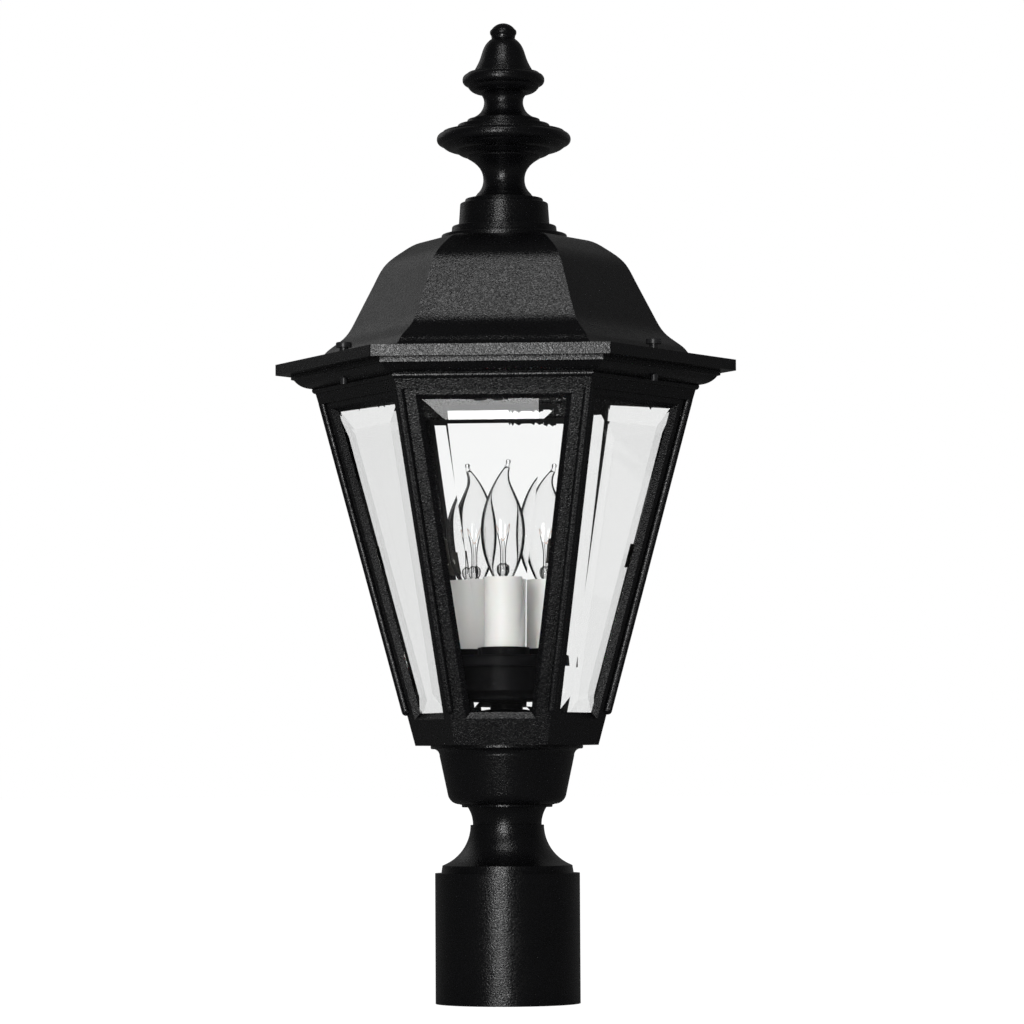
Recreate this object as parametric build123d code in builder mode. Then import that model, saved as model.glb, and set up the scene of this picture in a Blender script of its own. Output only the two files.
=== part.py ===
from build123d import *
from math import atan2, cos, degrees, radians, sin, sqrt, tan
import os

os.makedirs("parts", exist_ok=True)

# A six-sided post top lantern. Z is up, the origin is the centre of the collar's lower rim,
# and the front window faces -Y. All lengths are in millimetres.

# ---------------------------------------------------------------- driving dimensions

sides = 6
first_face_angle = -90.0          # plan direction of the front window

# Fits
slip_gap = 0.2                    # all round a part that another one passes through
thread_gap = 0.08                 # all round a screw in its tapped hole
socket_gap = 0.3                  # all round a lamp cap in its screw shell

# Post fitter
post_diameter = 76.2              # the 3 in post that the collar drops over
post_gap = 0.5                    # all round the post
collar_wall = 3.5
collar_height = 75.5
post_stop = 3.0                   # metal above the bore's end
ring_width = 3.6                  # the step in from the collar to the ring
ring_height = 4.4
ring_taper = 0.7
ring_edge = 0.5
cove_height = 23.5
cove_radius = 24.9
fitter_neck_radius = 21.4
fitter_wall = 3.6
fitter_roof = 5.0
fitter_core_rise = 2.0            # the hollow under the cove starts this far above the collar

# Set screws
set_screw_diameter = 7.94         # 5/16 in
set_screw_height = 8.0
set_screw_socket = 3.97           # 5/32 in across flats
set_screw_socket_depth = 1.9
set_screw_recess = 0.35           # how much shorter than the collar's wall
set_screw_countersink = 0.4
set_screw_point = 0.4
set_screw_inset = 0.1             # its end stays this far inside the collar's wall

# Neck and bowl casting
neck_radius = 20.0
neck_flare = 2.9
neck_bow = 0.22                   # share of the flare that is reached at mid height
neck_height = 10.2
neck_core_radius = 14.0
bead_radius = 26.4
bead_height = 1.8
bead_edge = 0.4
bowl_foot_radius = 28.0
bowl_knuckle_radius = 34.5
bowl_knuckle_height = 5.8
bowl_knuckle_bow = (0.72, 0.36)
bowl_rim_radius = 39.2
bowl_side_height = 22.2
lip_radius = 44.4
lip_cove_height = 4.1
lip_cove_bow = (0.24, 0.72)
lip_edge = 0.5
lip_thickness = 2.0
bowl_wall = 3.5
bowl_floor = 4.0
bowl_floor_round = 1.5

# Threaded tube on the axis, with its nuts and washers
nipple_diameter = 13.2
nipple_bore = 9.2
nipple_end = 2.0                  # length past each nut
nipple_nut_flats = 19.0
nipple_nut_height = 5.5
nipple_washer_diameter = 22.0
nipple_washer_thickness = 1.6

# Cage
cage_height = 200.3
cage_foot_corner = 53.5           # corner radius of the plain outer faces at the foot
cage_rim_corner = 107.0           # and at the rim
cage_wall = 7.0                   # square to the face
cage_floor = 5.0
post_bead_radius = 2.6
post_bead_start = 20.1            # above the cage's foot
post_groove_width = 2.0
post_groove_depth = 1.2
post_groove_lap = 0.4             # how far the groove is cut in under the bead
frame_width = 11.8                # from the corner to the window's edge, along the face
lip_depth = 3.0                   # front lip that the pane bears on
lip_bevel = 3.0
rebate_lap = 3.0                  # how far the rebate reaches behind the lip
sill_height = 18.0                # window's lower edge above the cage's foot
rail_height = 5.8                 # window's upper edge below the cage's rim

# Panes, seals and clips
pane_gap = 0.3
pane_thickness = 5.0
pane_bevel_width = 14.0
pane_bevel_depth = 1.75
pane_back_gap = 0.1               # from the pane's back to the clips
seal_thickness = 0.25
seal_margin = 0.2
clip_height = 108.5               # middle of the clips above the cage's foot
clip_length = 14.0
clip_reach = 1.5                  # how far a clip shows past the window's edge
clip_thickness = 1.0
clip_margin = 5.3                 # from the corner to the clip's outer end
clip_screw_inset = 7.15
clip_screw_diameter = 2.2
clip_screw_head_diameter = 3.0
clip_screw_head_height = 0.8
clip_screw_length = 4.0
clip_screw_end_gap = 0.2

# Cornice, as distances from the axis square to a face
cornice_height = 17.2
cornice_step = 2.24               # out from the cage's face at the rim
cornice_band_height = 6.1
cornice_band_lean = 1.6
cornice_bead_height = 3.0
cornice_bead_lean = 1.6
cornice_bead_bow = (1.1, 0.45)
cornice_cove_width = 11.0
cornice_cove_height = 5.4
cornice_cove_bow = (0.64, 0.345)
cornice_lip_step = 1.6
cornice_lip_edge = 0.4
cornice_wall = 2.9
cornice_flange_width = 7.5
cornice_flange_thickness = 3.0
cornice_screw_inset = 4.7         # from the cage's corner towards the axis
cornice_screw_diameter = 3.5
cornice_screw_head_diameter = 5.4
cornice_screw_head_height = 2.2
cornice_screw_length = 8.0
cornice_screw_end_gap = 1.0

# Roof, as distances from the axis square to a face and heights above the cornice
brim_overhang = 8.0               # past the cornice
brim_thickness = 6.4
brim_edge_radius = 0.8
flare_foot_gap = 4.5              # from the flare's foot to the middle of the roof screws
flare_foot_rise = 0.5
flare_foot_slope = 0.45
roof_height = 78.0
roof_flat_margin = 1.15           # flat top outside the finial's plinth
roof_wall_side = 2.4
roof_wall_top = 2.6
roof_core_step = 2.0              # in from the cornice's inside to the roof's open underside
roof_core_rise = 1.6
roof_core_slope = 0.8
# Points of the ogee: share of the way out from the flat to the flare's foot, share of the drop.
ogee_shares = (
    (0.0, 0.0),
    (0.225, 0.079),
    (0.377, 0.194),
    (0.458, 0.326),
    (0.633, 0.658),
    (0.722, 0.790),
    (0.879, 0.911),
)

# Roof screws
roof_screw_inset = 6.1            # from the cornice's edge
roof_screw_diameter = 4.0
roof_screw_neck_diameter = 5.3
roof_screw_neck_height = 4.8
roof_screw_head_diameter = 9.2
roof_screw_head_height = 3.0
roof_screw_head_round = 0.8
roof_screw_slot = 1.2
roof_screw_length = 16.4          # below the brim's top
roof_screw_hole_gap = 0.3

# Finial base. Points are shares of the plinth's radius and of the height.
plinth_radius = 36.85
finial_base_height = 27.4
finial_joint_radius = 15.8
plinth_side = (0.997, 0.083)
plinth_round = (0.991, 0.108)
plinth_edge = (0.978, 0.116)
step_foot = (0.844, 0.1226)
step_side = (0.829, 0.2825)
step_edge = (0.821, 0.2956)
hub_foot = (0.7237, 0.3022)
hub_shoulder = (0.6997, 0.7664)
hub_round = (0.695, 0.7862)
hub_edge = (0.682, 0.797)
hub_step = (0.626, 0.8037)
hub_step_side = (0.618, 0.8737)
hub_step_edge = (0.6116, 0.8869)
hub_top = (0.5123, 0.8956)
hub_cove = (0.4643, 0.9394)

# Finial stem. Points are shares of the dish's radius and of the height.
dish_radius = 39.3
finial_stem_height = 59.2
cup_foot_radius = 13.8
stem_neck = (0.309, 0.151)
dish_foot = (0.5373, 0.3557)
dish_foot_edge = (0.5463, 0.3709)
dish_under = (0.6627, 0.3953)
dish_step = (0.7179, 0.4277)
dish_step_flank = (0.8627, 0.4500)
dish_step_rim = (0.9269, 0.4855)
dish_lip = (0.9463, 0.4875)
dish_flank = (0.9881, 0.5118)
dish_rim = (1.000, 0.5473)
dish_rim_side = (0.9821, 0.5817)
dish_rim_top = (0.9149, 0.6061)
first_tier_side = (0.9090, 0.6193)
first_tier_edge = (0.9000, 0.6243)
second_tier_foot = (0.7030, 0.6304)
second_tier_side = (0.6851, 0.6841)
second_tier_edge = (0.6776, 0.6892)
third_tier_foot = (0.5552, 0.6932)
third_tier_side = (0.5403, 0.7358)
third_tier_edge = (0.5343, 0.7409)
upper_foot = (0.4925, 0.7449)
upper_flare = (0.3642, 0.7997)
upper_neck = (0.2910, 0.9091)
stem_directions = ((-1, 0.9), (1, 0.55))
upper_directions = ((-1, 0.55), (1, 0.8))

# Finial top. Points are shares of the brow's radius and of the height.
brow_radius = 24.05
finial_top_height = 41.7
cup_edge = (0.6427, 0.0065)
cup_side = (0.7997, 0.0475)
cup_rim = (0.8782, 0.1093)
cup_rim_edge = (0.9126, 0.1151)
brow_under = (0.9840, 0.1525)
brow = (1.000, 0.1957)
brow_side = (0.9790, 0.2417)
brow_top = (0.8832, 0.2791)
brow_step = (0.8733, 0.2921)
brow_step_edge = (0.8611, 0.2978)
bell_foot = (0.7286, 0.3108)
bell_side = (0.5765, 0.4834)
bell_waist = (0.4931, 0.6273)
bell_shoulder = (0.4121, 0.7108)
bell_top = (0.3042, 0.7712)
knob_groove_low = (0.2846, 0.7827)
knob_groove_high = (0.2944, 0.8259)
knob_side = (0.3250, 0.8661)
knob_shoulder = (0.3091, 0.9036)
ball_edge = (0.2895, 0.9093)
bell_directions = ((-0.5, 0.9), (-1, 0.7))

# Finial rod, washer and nut
rod_diameter = 6.35               # 1/4 in
rod_reach = 14.0                  # into the finial's top piece
rod_end_gap = 1.0
rod_tail = 3.0                    # past the nut
rod_nut_flats = 11.1
rod_nut_height = 5.6
rod_washer_diameter = 20.0
rod_washer_thickness = 1.6

# Lamp cluster
canopy_radius = 24.0
canopy_side_height = 11.0
canopy_neck_radius = 9.5
canopy_dome_height = 18.0
canopy_height = 21.2
canopy_wall = 1.6
canopy_bow = (0.38, 0.7)
canopy_core_bow = (0.41, 0.7)
drum_radius = 33.0
drum_wall = 2.0
drum_floor = 2.5
drum_foot_radius = 31.0
drum_foot_height = 3.5
drum_foot_round = 2.0
drum_step = 2.1
drum_height = 23.5
cover_radius = 39.5
cover_plate = 2.5
cover_skirt_height = 6.3
cover_skirt_wall = 2.0
cover_round = 1.0

# Candles
candles = 3
candle_circle_radius = 22.2
first_candle_angle = -90.0
socket_nipple_diameter = 10.0
socket_nipple_bore = 6.4
socket_nipple_end = 1.0
socket_nut_flats = 13.5
socket_nut_height = 4.0
cup_base_radius = 13.5
cup_base_floor = 1.5
cup_base_height = 4.7
cup_base_round = 0.8
sleeve_radius = 11.1
sleeve_wall = 1.1
sleeve_height = 43.7
bracket_thickness = 1.2
bracket_width = 9.0
bracket_foot_radius = 7.4
bracket_reach = 8.2
bracket_height = 9.7
bracket_tongue_share = 1.5        # tongue's length over the bracket's reach
socket_body_radius = 8.6
socket_body_height = 30.8
socket_body_floor = 3.8
socket_body_bore = 14.2
shell_wall = 0.5
shell_height = 24.0
contact_base_radius = 4.0
contact_base_thickness = 0.6
contact_tip_radius = 1.8
contact_height = 3.3

# Lamps
cap_radius = 6.0
cap_wall = 0.5
cap_height = 18.7
insulator_radius = 5.4
insulator_height = 2.0
insulator_taper = 30.0
tip_radius = 2.2
tip_height = 1.0
envelope_start = 14.0             # above the cap's lower edge
envelope_wall = 0.8
envelope_radius = 12.85
envelope_widest = 35.0            # height of the widest place above the envelope's start
envelope_length = 77.6
lean_angles = (0.0, 0.0, 180.0)   # which way each flame tip bends
lean_lengths = (3.3, 4.6, 3.8)
stem_flare_radius = 4.1
stem_press_radius = 3.4
stem_height = 17.5
stem_waist = (0.6, 0.45)          # shares of the press's radius and of the stem's height
lead_radius = 0.35
lead_spacing = 3.4
lead_height = 18.0
lead_sink = 1.0                   # into the press
filament_radius = 0.3
filament_rise = 6.0
filament_sink = 0.3               # into the leads
tip_bead_share = 1.1              # tip bead over the envelope's end

# Earth screw on the cage's floor
ground_screw_position = (0.0, 32.0)
ground_screw_diameter = 4.0
ground_screw_length = 4.0
ground_screw_head_diameter = 8.0
ground_screw_head_height = 2.4
ground_screw_slot = 1.2

# ---------------------------------------------------------------- levels and shared places

collar_bore_radius = post_diameter / 2 + post_gap
collar_radius = collar_bore_radius + collar_wall
ring_top = collar_height + ring_height
fitter_top = ring_top + cove_height
bowl_top = fitter_top + neck_height + bead_height + bowl_knuckle_height + bowl_side_height + lip_cove_height
bowl_top = bowl_top + lip_thickness
cage_foot = bowl_top
cage_rim = cage_foot + cage_height
cornice_top = cage_rim + cornice_height
brim_top = cornice_top + brim_thickness
roof_top = cornice_top + roof_height
roof_ceiling = roof_top - roof_wall_top
finial_stem_foot = roof_top + finial_base_height
finial_top_foot = finial_stem_foot + finial_stem_height
floor_top = cage_foot + cage_floor
drum_foot = floor_top + canopy_height
drum_floor_top = drum_foot + drum_floor
drum_top = drum_foot + drum_height
cover_top = drum_top + cover_plate
cup_floor_top = cover_top + cup_base_floor
bracket_top = cup_floor_top + bracket_height
socket_floor_top = bracket_top + socket_body_floor
lamp_foot = socket_floor_top + contact_height
cap_foot = lamp_foot + tip_height + insulator_height
envelope_foot = cap_foot + envelope_start
window_low = cage_foot + sill_height
window_high = cage_rim - rail_height

half_sector = 180.0 / sides
face_share = cos(radians(half_sector))
face_angles = [first_face_angle + 360.0 * k / sides for k in range(sides)]
corner_angles = [angle + half_sector for angle in face_angles]
cage_lean = (cage_rim_corner - cage_foot_corner) / cage_height
cage_tilt = atan2(cage_lean * face_share, 1.0)
candle_angles = [first_candle_angle + 360.0 * k / candles for k in range(candles)]
candle_places = [
    (candle_circle_radius * cos(radians(a)), candle_circle_radius * sin(radians(a)))
    for a in candle_angles
]
screw_face_angles = [face_angles[k] for k in (3, 5, 1)]
set_screw_angles = [face_angles[k] for k in (0, 2, 4)]
cornice_foot = cage_rim_corner * face_share + cornice_step
cornice_reach = cornice_foot + cornice_band_lean + cornice_bead_lean + cornice_cove_width
cornice_inside = cornice_foot - cornice_wall
brim_reach = cornice_reach + brim_overhang
roof_screw_reach = cornice_reach - roof_screw_inset
flare_reach = roof_screw_reach - flare_foot_gap
roof_core_reach = cornice_inside - roof_core_step
roof_flat = plinth_radius + roof_flat_margin
nipple_radius = nipple_diameter / 2
nipple_hole_radius = nipple_radius + slip_gap
rod_hole_radius = rod_diameter / 2 + slip_gap

# Local x runs out from the axis square to the front face, local y runs up.
front_section = Plane(origin=(0, 0, 0), x_dir=(0, -1, 0), z_dir=(-1, 0, 0))

# The wedge of plan that belongs to the front face.
sector_reach = 2 * brim_reach
sector_half = sector_reach * tan(radians(half_sector))
sector = ((0, 0), (sector_half, -sector_reach), (-sector_half, -sector_reach))


def polar(radius, angle, height=0.0):
    """Point at a radius and plan direction."""
    return (radius * cos(radians(angle)), radius * sin(radians(angle)), height)


def cage_corner(height):
    """Corner radius of the cage's plain outer faces."""
    return cage_foot_corner + cage_lean * (height - cage_foot)


def cage_core_corner(height):
    """Corner radius of the cage's inside."""
    return cage_corner(height) - cage_wall / cos(cage_tilt) / face_share


def face_plane(angle):
    """Plane of one leaning cage face: x along the face, y up the face, z outwards."""
    foot = cage_foot_corner * face_share
    return Plane(
        origin=polar(foot, angle, cage_foot),
        x_dir=polar(1.0, angle + 90.0),
        z_dir=(cos(cage_tilt) * cos(radians(angle)), cos(cage_tilt) * sin(radians(angle)), -sin(cage_tilt)),
    )


def face_point(inset, height, side=1):
    """Point on a face, at an inset from its corner and a true height."""
    return (side * (cage_corner(height) / 2 - inset), (height - cage_foot) / cos(cage_tilt))


def between(start, end, bow):
    """Point at shares of the way from one point to another, across and up."""
    return (start[0] + (end[0] - start[0]) * bow[0], start[1] + (end[1] - start[1]) * bow[1])


def window(inset, low, high):
    """Corners of a trapezium on a face, with its long sides at one inset from the corners."""
    return (
        face_point(inset, low, -1),
        face_point(inset, low),
        face_point(inset, high),
        face_point(inset, high, -1),
    )


def strip(inset_start, inset_end, low, high, side):
    """Corners of a strip that runs up a face beside one of its corners."""
    return (
        face_point(inset_start, low, side),
        face_point(inset_end, low, side),
        face_point(inset_end, high, side),
        face_point(inset_start, high, side),
    )


def cove_reach(radius, height):
    """Radius of the fitter's cove at a height, for one cove radius."""
    centre = fitter_neck_radius + cove_radius
    return centre - sqrt(radius**2 - (fitter_top - height) ** 2)


# ---------------------------------------------------------------- post fitter

ring_radius = collar_radius - ring_width
cove_foot = ring_top + ring_edge
core_radius = cove_radius + fitter_wall
core_top = fitter_top - fitter_roof
core_foot = collar_height + fitter_core_rise
core_middle = (core_foot + core_top) / 2
cove_middle = (cove_foot + fitter_top) / 2

with BuildPart() as post_fitter:
    with BuildSketch(Plane.XZ):
        with BuildLine():
            Polyline(
                (nipple_hole_radius, fitter_top),
                (nipple_hole_radius, core_top),
                (cove_reach(core_radius, core_top), core_top),
            )
            ThreePointArc(
                (cove_reach(core_radius, core_top), core_top),
                (cove_reach(core_radius, core_middle), core_middle),
                (cove_reach(core_radius, core_foot), core_foot),
            )
            Polyline(
                (cove_reach(core_radius, core_foot), core_foot),
                (cove_reach(core_radius, core_foot), collar_height - post_stop),
                (collar_bore_radius, collar_height - post_stop),
                (collar_bore_radius, 0),
                (collar_radius, 0),
                (collar_radius, collar_height),
                (ring_radius, collar_height),
                (ring_radius - ring_taper, ring_top),
                (cove_reach(cove_radius, cove_foot), cove_foot),
            )
            ThreePointArc(
                (cove_reach(cove_radius, cove_foot), cove_foot),
                (cove_reach(cove_radius, cove_middle), cove_middle),
                (fitter_neck_radius, fitter_top),
            )
            Line((fitter_neck_radius, fitter_top), (nipple_hole_radius, fitter_top))
        make_face()
    revolve(axis=Axis.Z)
    for angle in set_screw_angles:
        hole_plane = Plane(
            origin=polar(collar_radius, angle, set_screw_height),
            x_dir=polar(1.0, angle + 90.0),
            z_dir=polar(1.0, angle),
        )
        with BuildSketch(hole_plane):
            Circle(set_screw_diameter / 2 + thread_gap)
        extrude(amount=-2 * collar_wall, mode=Mode.SUBTRACT)
        with BuildSketch(hole_plane):
            Circle(set_screw_diameter / 2 + thread_gap + set_screw_countersink)
        extrude(amount=-2 * set_screw_countersink, mode=Mode.SUBTRACT)
post_fitter.part.label = "post_fitter"
export_step(post_fitter.part, "parts/post_fitter.step")

# ---------------------------------------------------------------- set screws

set_screw_length = collar_wall - set_screw_recess
for angle, place in zip(set_screw_angles, ("front", "right", "left")):
    screw_plane = Plane(
        origin=polar(collar_bore_radius + set_screw_inset, angle, set_screw_height),
        x_dir=polar(1.0, angle + 90.0),
        z_dir=polar(1.0, angle),
    )
    with BuildPart() as set_screw:
        with BuildSketch(screw_plane):
            Circle(set_screw_diameter / 2)
        extrude(amount=set_screw_length)
        with BuildSketch(screw_plane.offset(set_screw_length)):
            RegularPolygon(set_screw_socket / 2, 6, major_radius=False)
        extrude(amount=-set_screw_socket_depth, mode=Mode.SUBTRACT)
        tip = set_screw.edges().filter_by(GeomType.CIRCLE).sort_by(SortBy.DISTANCE)[0]
        chamfer(tip, length=set_screw_point)
    set_screw.part.label = f"set_screw_{place}"
    export_step(set_screw.part, f"parts/set_screw_{place}.step")

# ---------------------------------------------------------------- neck and bowl

bead_foot = fitter_top + neck_height
bowl_foot = bead_foot + bead_height
knuckle_top = bowl_foot + bowl_knuckle_height
rim_foot = knuckle_top + bowl_side_height
lip_foot = rim_foot + lip_cove_height
bowl_floor_top = bowl_foot + bowl_floor

neck_end = (neck_radius + neck_flare, bead_foot)
neck_middle = (neck_radius + neck_flare * neck_bow, (fitter_top + bead_foot) / 2)
knuckle_start = (bowl_foot_radius, bowl_foot)
knuckle_end = (bowl_knuckle_radius, knuckle_top)
rim_start = (bowl_rim_radius, rim_foot)
rim_end = (lip_radius - lip_edge, lip_foot)

with BuildPart() as bowl:
    with BuildSketch(Plane.XZ):
        with BuildLine():
            ThreePointArc((neck_radius, fitter_top), neck_middle, neck_end)
            Polyline(
                neck_end,
                (bead_radius - bead_edge, bead_foot),
                (bead_radius, bead_foot + bead_edge),
                (bead_radius, bowl_foot - bead_edge),
                knuckle_start,
            )
            ThreePointArc(knuckle_start, between(knuckle_start, knuckle_end, bowl_knuckle_bow), knuckle_end)
            Line(knuckle_end, rim_start)
            ThreePointArc(rim_start, between(rim_start, rim_end, lip_cove_bow), rim_end)
            Polyline(
                rim_end,
                (lip_radius, lip_foot + lip_edge),
                (lip_radius, bowl_top),
                (bowl_rim_radius - bowl_wall, bowl_top),
                (bowl_rim_radius - bowl_wall, rim_foot),
                (bowl_knuckle_radius - bowl_wall, knuckle_top),
                (bowl_knuckle_radius - bowl_wall - bowl_floor_round, bowl_floor_top),
                (nipple_hole_radius, bowl_floor_top),
                (nipple_hole_radius, bowl_foot),
                (neck_core_radius, bowl_foot),
                (neck_core_radius, fitter_top),
                (neck_radius, fitter_top),
            )
        make_face()
    revolve(axis=Axis.Z)
bowl.part.label = "bowl"
export_step(bowl.part, "parts/bowl.step")

# ---------------------------------------------------------------- threaded tube, nuts and washers

lower_washer_top = core_top
upper_washer_foot = drum_floor_top
washer_and_nut = nipple_washer_thickness + nipple_nut_height
nipple_foot = lower_washer_top - washer_and_nut - nipple_end
nipple_top = upper_washer_foot + washer_and_nut + nipple_end

with BuildPart() as nipple:
    with BuildSketch(Plane.XY.offset(nipple_foot)):
        Circle(nipple_radius)
        Circle(nipple_bore / 2, mode=Mode.SUBTRACT)
    extrude(amount=nipple_top - nipple_foot)
nipple.part.label = "nipple"
export_step(nipple.part, "parts/nipple.step")

with BuildPart() as nipple_washers:
    for foot in (lower_washer_top - nipple_washer_thickness, upper_washer_foot):
        with BuildSketch(Plane.XY.offset(foot)):
            Circle(nipple_washer_diameter / 2)
            Circle(nipple_hole_radius, mode=Mode.SUBTRACT)
        extrude(amount=nipple_washer_thickness)
nipple_washers.part.label = "nipple_washers"
export_step(nipple_washers.part, "parts/nipple_washers.step")

with BuildPart() as nipple_nuts:
    for foot in (lower_washer_top - washer_and_nut, upper_washer_foot + nipple_washer_thickness):
        with BuildSketch(Plane.XY.offset(foot)):
            RegularPolygon(nipple_nut_flats / 2, 6, major_radius=False)
            Circle(nipple_radius + thread_gap, mode=Mode.SUBTRACT)
        extrude(amount=nipple_nut_height)
nipple_nuts.part.label = "nipple_nuts"
export_step(nipple_nuts.part, "parts/nipple_nuts.step")

# ---------------------------------------------------------------- cage

rebate_inset = frame_width - rebate_lap
groove_start = post_bead_radius - post_groove_lap
groove_end = post_bead_radius + post_groove_width
bead_start = cage_foot + post_bead_start

# One corner bead, a rod with a round lower end, upright on the origin.
with BuildPart() as post_bead:
    with BuildSketch(Plane.XZ):
        with BuildLine():
            ThreePointArc(
                (0, -post_bead_radius),
                (post_bead_radius * sin(radians(45)), -post_bead_radius * cos(radians(45))),
                (post_bead_radius, 0),
            )
            Polyline(
                (post_bead_radius, 0),
                (post_bead_radius, cage_height),
                (0, cage_height),
                (0, -post_bead_radius),
            )
        make_face()
    revolve(axis=Axis.Z)

with BuildPart() as cage:
    with BuildSketch(Plane.XY.offset(cage_foot)):
        RegularPolygon(cage_foot_corner, sides)
    with BuildSketch(Plane.XY.offset(cage_rim)):
        RegularPolygon(cage_rim_corner, sides)
    loft(ruled=True)
    with BuildSketch(Plane.XY.offset(floor_top)):
        RegularPolygon(cage_core_corner(floor_top), sides)
    with BuildSketch(Plane.XY.offset(cage_rim)):
        RegularPolygon(cage_core_corner(cage_rim), sides)
    loft(ruled=True, mode=Mode.SUBTRACT)
    with BuildSketch(Plane.XY.offset(cage_foot)):
        Circle(nipple_hole_radius)
    extrude(amount=cage_floor, mode=Mode.SUBTRACT)

    for angle in face_angles:
        face = face_plane(angle)
        # bevelled front of the window
        with BuildSketch(face):
            bevel_edge = window(frame_width - lip_bevel, window_low - lip_bevel, window_high + lip_bevel)
            Polygon(*bevel_edge, align=None)
        with BuildSketch(face.offset(-lip_depth)):
            Polygon(*window(frame_width, window_low, window_high), align=None)
        loft(ruled=True, mode=Mode.SUBTRACT)
        # rebate for the pane, open to the inside
        with BuildSketch(face.offset(-lip_depth)):
            rebate_edge = window(rebate_inset, window_low - rebate_lap, window_high + rebate_lap)
            Polygon(*rebate_edge, align=None)
        extrude(amount=-2 * cage_wall, mode=Mode.SUBTRACT)
        # a groove beside each corner bead
        for side in (-1, 1):
            with BuildSketch(face):
                Polygon(*strip(groove_start, groove_end, bead_start, cage_rim, side), align=None)
            extrude(amount=-post_groove_depth, mode=Mode.SUBTRACT)
            # tapped hole for the clip's screw
            with BuildSketch(face.offset(-cage_wall)):
                with Locations(face_point(clip_screw_inset, cage_foot + clip_height, side)):
                    Circle(clip_screw_diameter / 2 + thread_gap)
            extrude(amount=clip_screw_length, mode=Mode.SUBTRACT)

    # bead up each corner, cut off level with the rim
    bead_planes = [
        Plane(
            origin=polar(cage_corner(bead_start), angle, bead_start),
            x_dir=polar(1.0, angle + 180.0),
            z_dir=(*polar(cage_lean, angle)[:2], 1.0),
        )
        for angle in corner_angles
    ]
    with Locations(*bead_planes):
        add(post_bead.part)
    split(bisect_by=Plane.XY.offset(cage_rim), keep=Keep.BOTTOM)

    # tapped holes for the cornice's screws
    with BuildSketch(Plane.XY.offset(cage_rim)):
        with PolarLocations(cage_rim_corner - cornice_screw_inset, sides):
            Circle(cornice_screw_diameter / 2 + thread_gap)
    extrude(amount=-cornice_screw_length - cornice_screw_end_gap, mode=Mode.SUBTRACT)

    # tapped hole for the earth screw
    with BuildSketch(Plane.XY.offset(floor_top)):
        with Locations(ground_screw_position):
            Circle(ground_screw_diameter / 2 + thread_gap)
    extrude(amount=-ground_screw_length, mode=Mode.SUBTRACT)
cage.part.label = "cage"
export_step(cage.part, "parts/cage.step")

# ---------------------------------------------------------------- earth screw

with BuildPart() as ground_screw:
    with BuildSketch(Plane.XY.offset(floor_top)):
        with Locations(ground_screw_position):
            Circle(ground_screw_head_diameter / 2)
    extrude(amount=ground_screw_head_height)
    with BuildSketch(Plane.XY.offset(floor_top)):
        with Locations(ground_screw_position):
            Circle(ground_screw_diameter / 2)
    extrude(amount=-ground_screw_length)
    with BuildSketch(Plane.XY.offset(floor_top + ground_screw_head_height)):
        with Locations(ground_screw_position):
            Rectangle(2 * ground_screw_head_diameter, ground_screw_slot)
    extrude(amount=-ground_screw_head_height / 2, mode=Mode.SUBTRACT)
ground_screw.part.label = "ground_screw"
export_step(ground_screw.part, "parts/ground_screw.step")

# ---------------------------------------------------------------- panes

pane_inset = rebate_inset + pane_gap
pane_low = window_low - rebate_lap + pane_gap
pane_high = window_high + rebate_lap - pane_gap
flat_inset = pane_inset + pane_bevel_width
flat_low = pane_low + pane_bevel_width
flat_high = pane_high - pane_bevel_width
pane_back = cage_wall - pane_back_gap
pane_front = pane_back - pane_thickness

for number, angle in enumerate(face_angles, start=1):
    face = face_plane(angle)
    with BuildPart() as glass:
        with BuildSketch(face.offset(-pane_front)):
            Polygon(*window(flat_inset, flat_low, flat_high), align=None)
        with BuildSketch(face.offset(-pane_front - pane_bevel_depth)):
            Polygon(*window(pane_inset, pane_low, pane_high), align=None)
        loft(ruled=True)
        with BuildSketch(face.offset(-pane_back)):
            Polygon(*window(pane_inset, pane_low, pane_high), align=None)
        extrude(amount=pane_thickness - pane_bevel_depth)
    glass.part.label = f"glass_{number}"
    export_step(glass.part, f"parts/glass_{number}.step")

with BuildPart() as glass_seals:
    for angle in face_angles:
        with BuildSketch(face_plane(angle).offset(-lip_depth)):
            seal_reach = rebate_lap - seal_margin
            seal_outside = window(frame_width - seal_reach, window_low - seal_reach, window_high + seal_reach)
            Polygon(*seal_outside, align=None)
            seal_edge = frame_width - seal_margin
            seal_inside = window(seal_edge, window_low - seal_margin, window_high + seal_margin)
            Polygon(*seal_inside, align=None, mode=Mode.SUBTRACT)
        extrude(amount=-seal_thickness)
glass_seals.part.label = "glass_seals"
export_step(glass_seals.part, "parts/glass_seals.step")

# ---------------------------------------------------------------- clips that hold the panes

clip_middle = cage_foot + clip_height
clip_half = clip_length / 2 * cos(cage_tilt)
clip_end = frame_width + clip_reach

with BuildPart() as glass_clips:
    for angle in face_angles:
        for side in (-1, 1):
            with BuildSketch(face_plane(angle).offset(-cage_wall)):
                clip_low = clip_middle - clip_half
                clip_high = clip_middle + clip_half
                Polygon(*strip(clip_margin, clip_end, clip_low, clip_high, side), align=None)
                with Locations(face_point(clip_screw_inset, clip_middle, side)):
                    Circle(clip_screw_diameter / 2 + thread_gap, mode=Mode.SUBTRACT)
            extrude(amount=-clip_thickness)
glass_clips.part.label = "glass_clips"
export_step(glass_clips.part, "parts/glass_clips.step")

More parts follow.
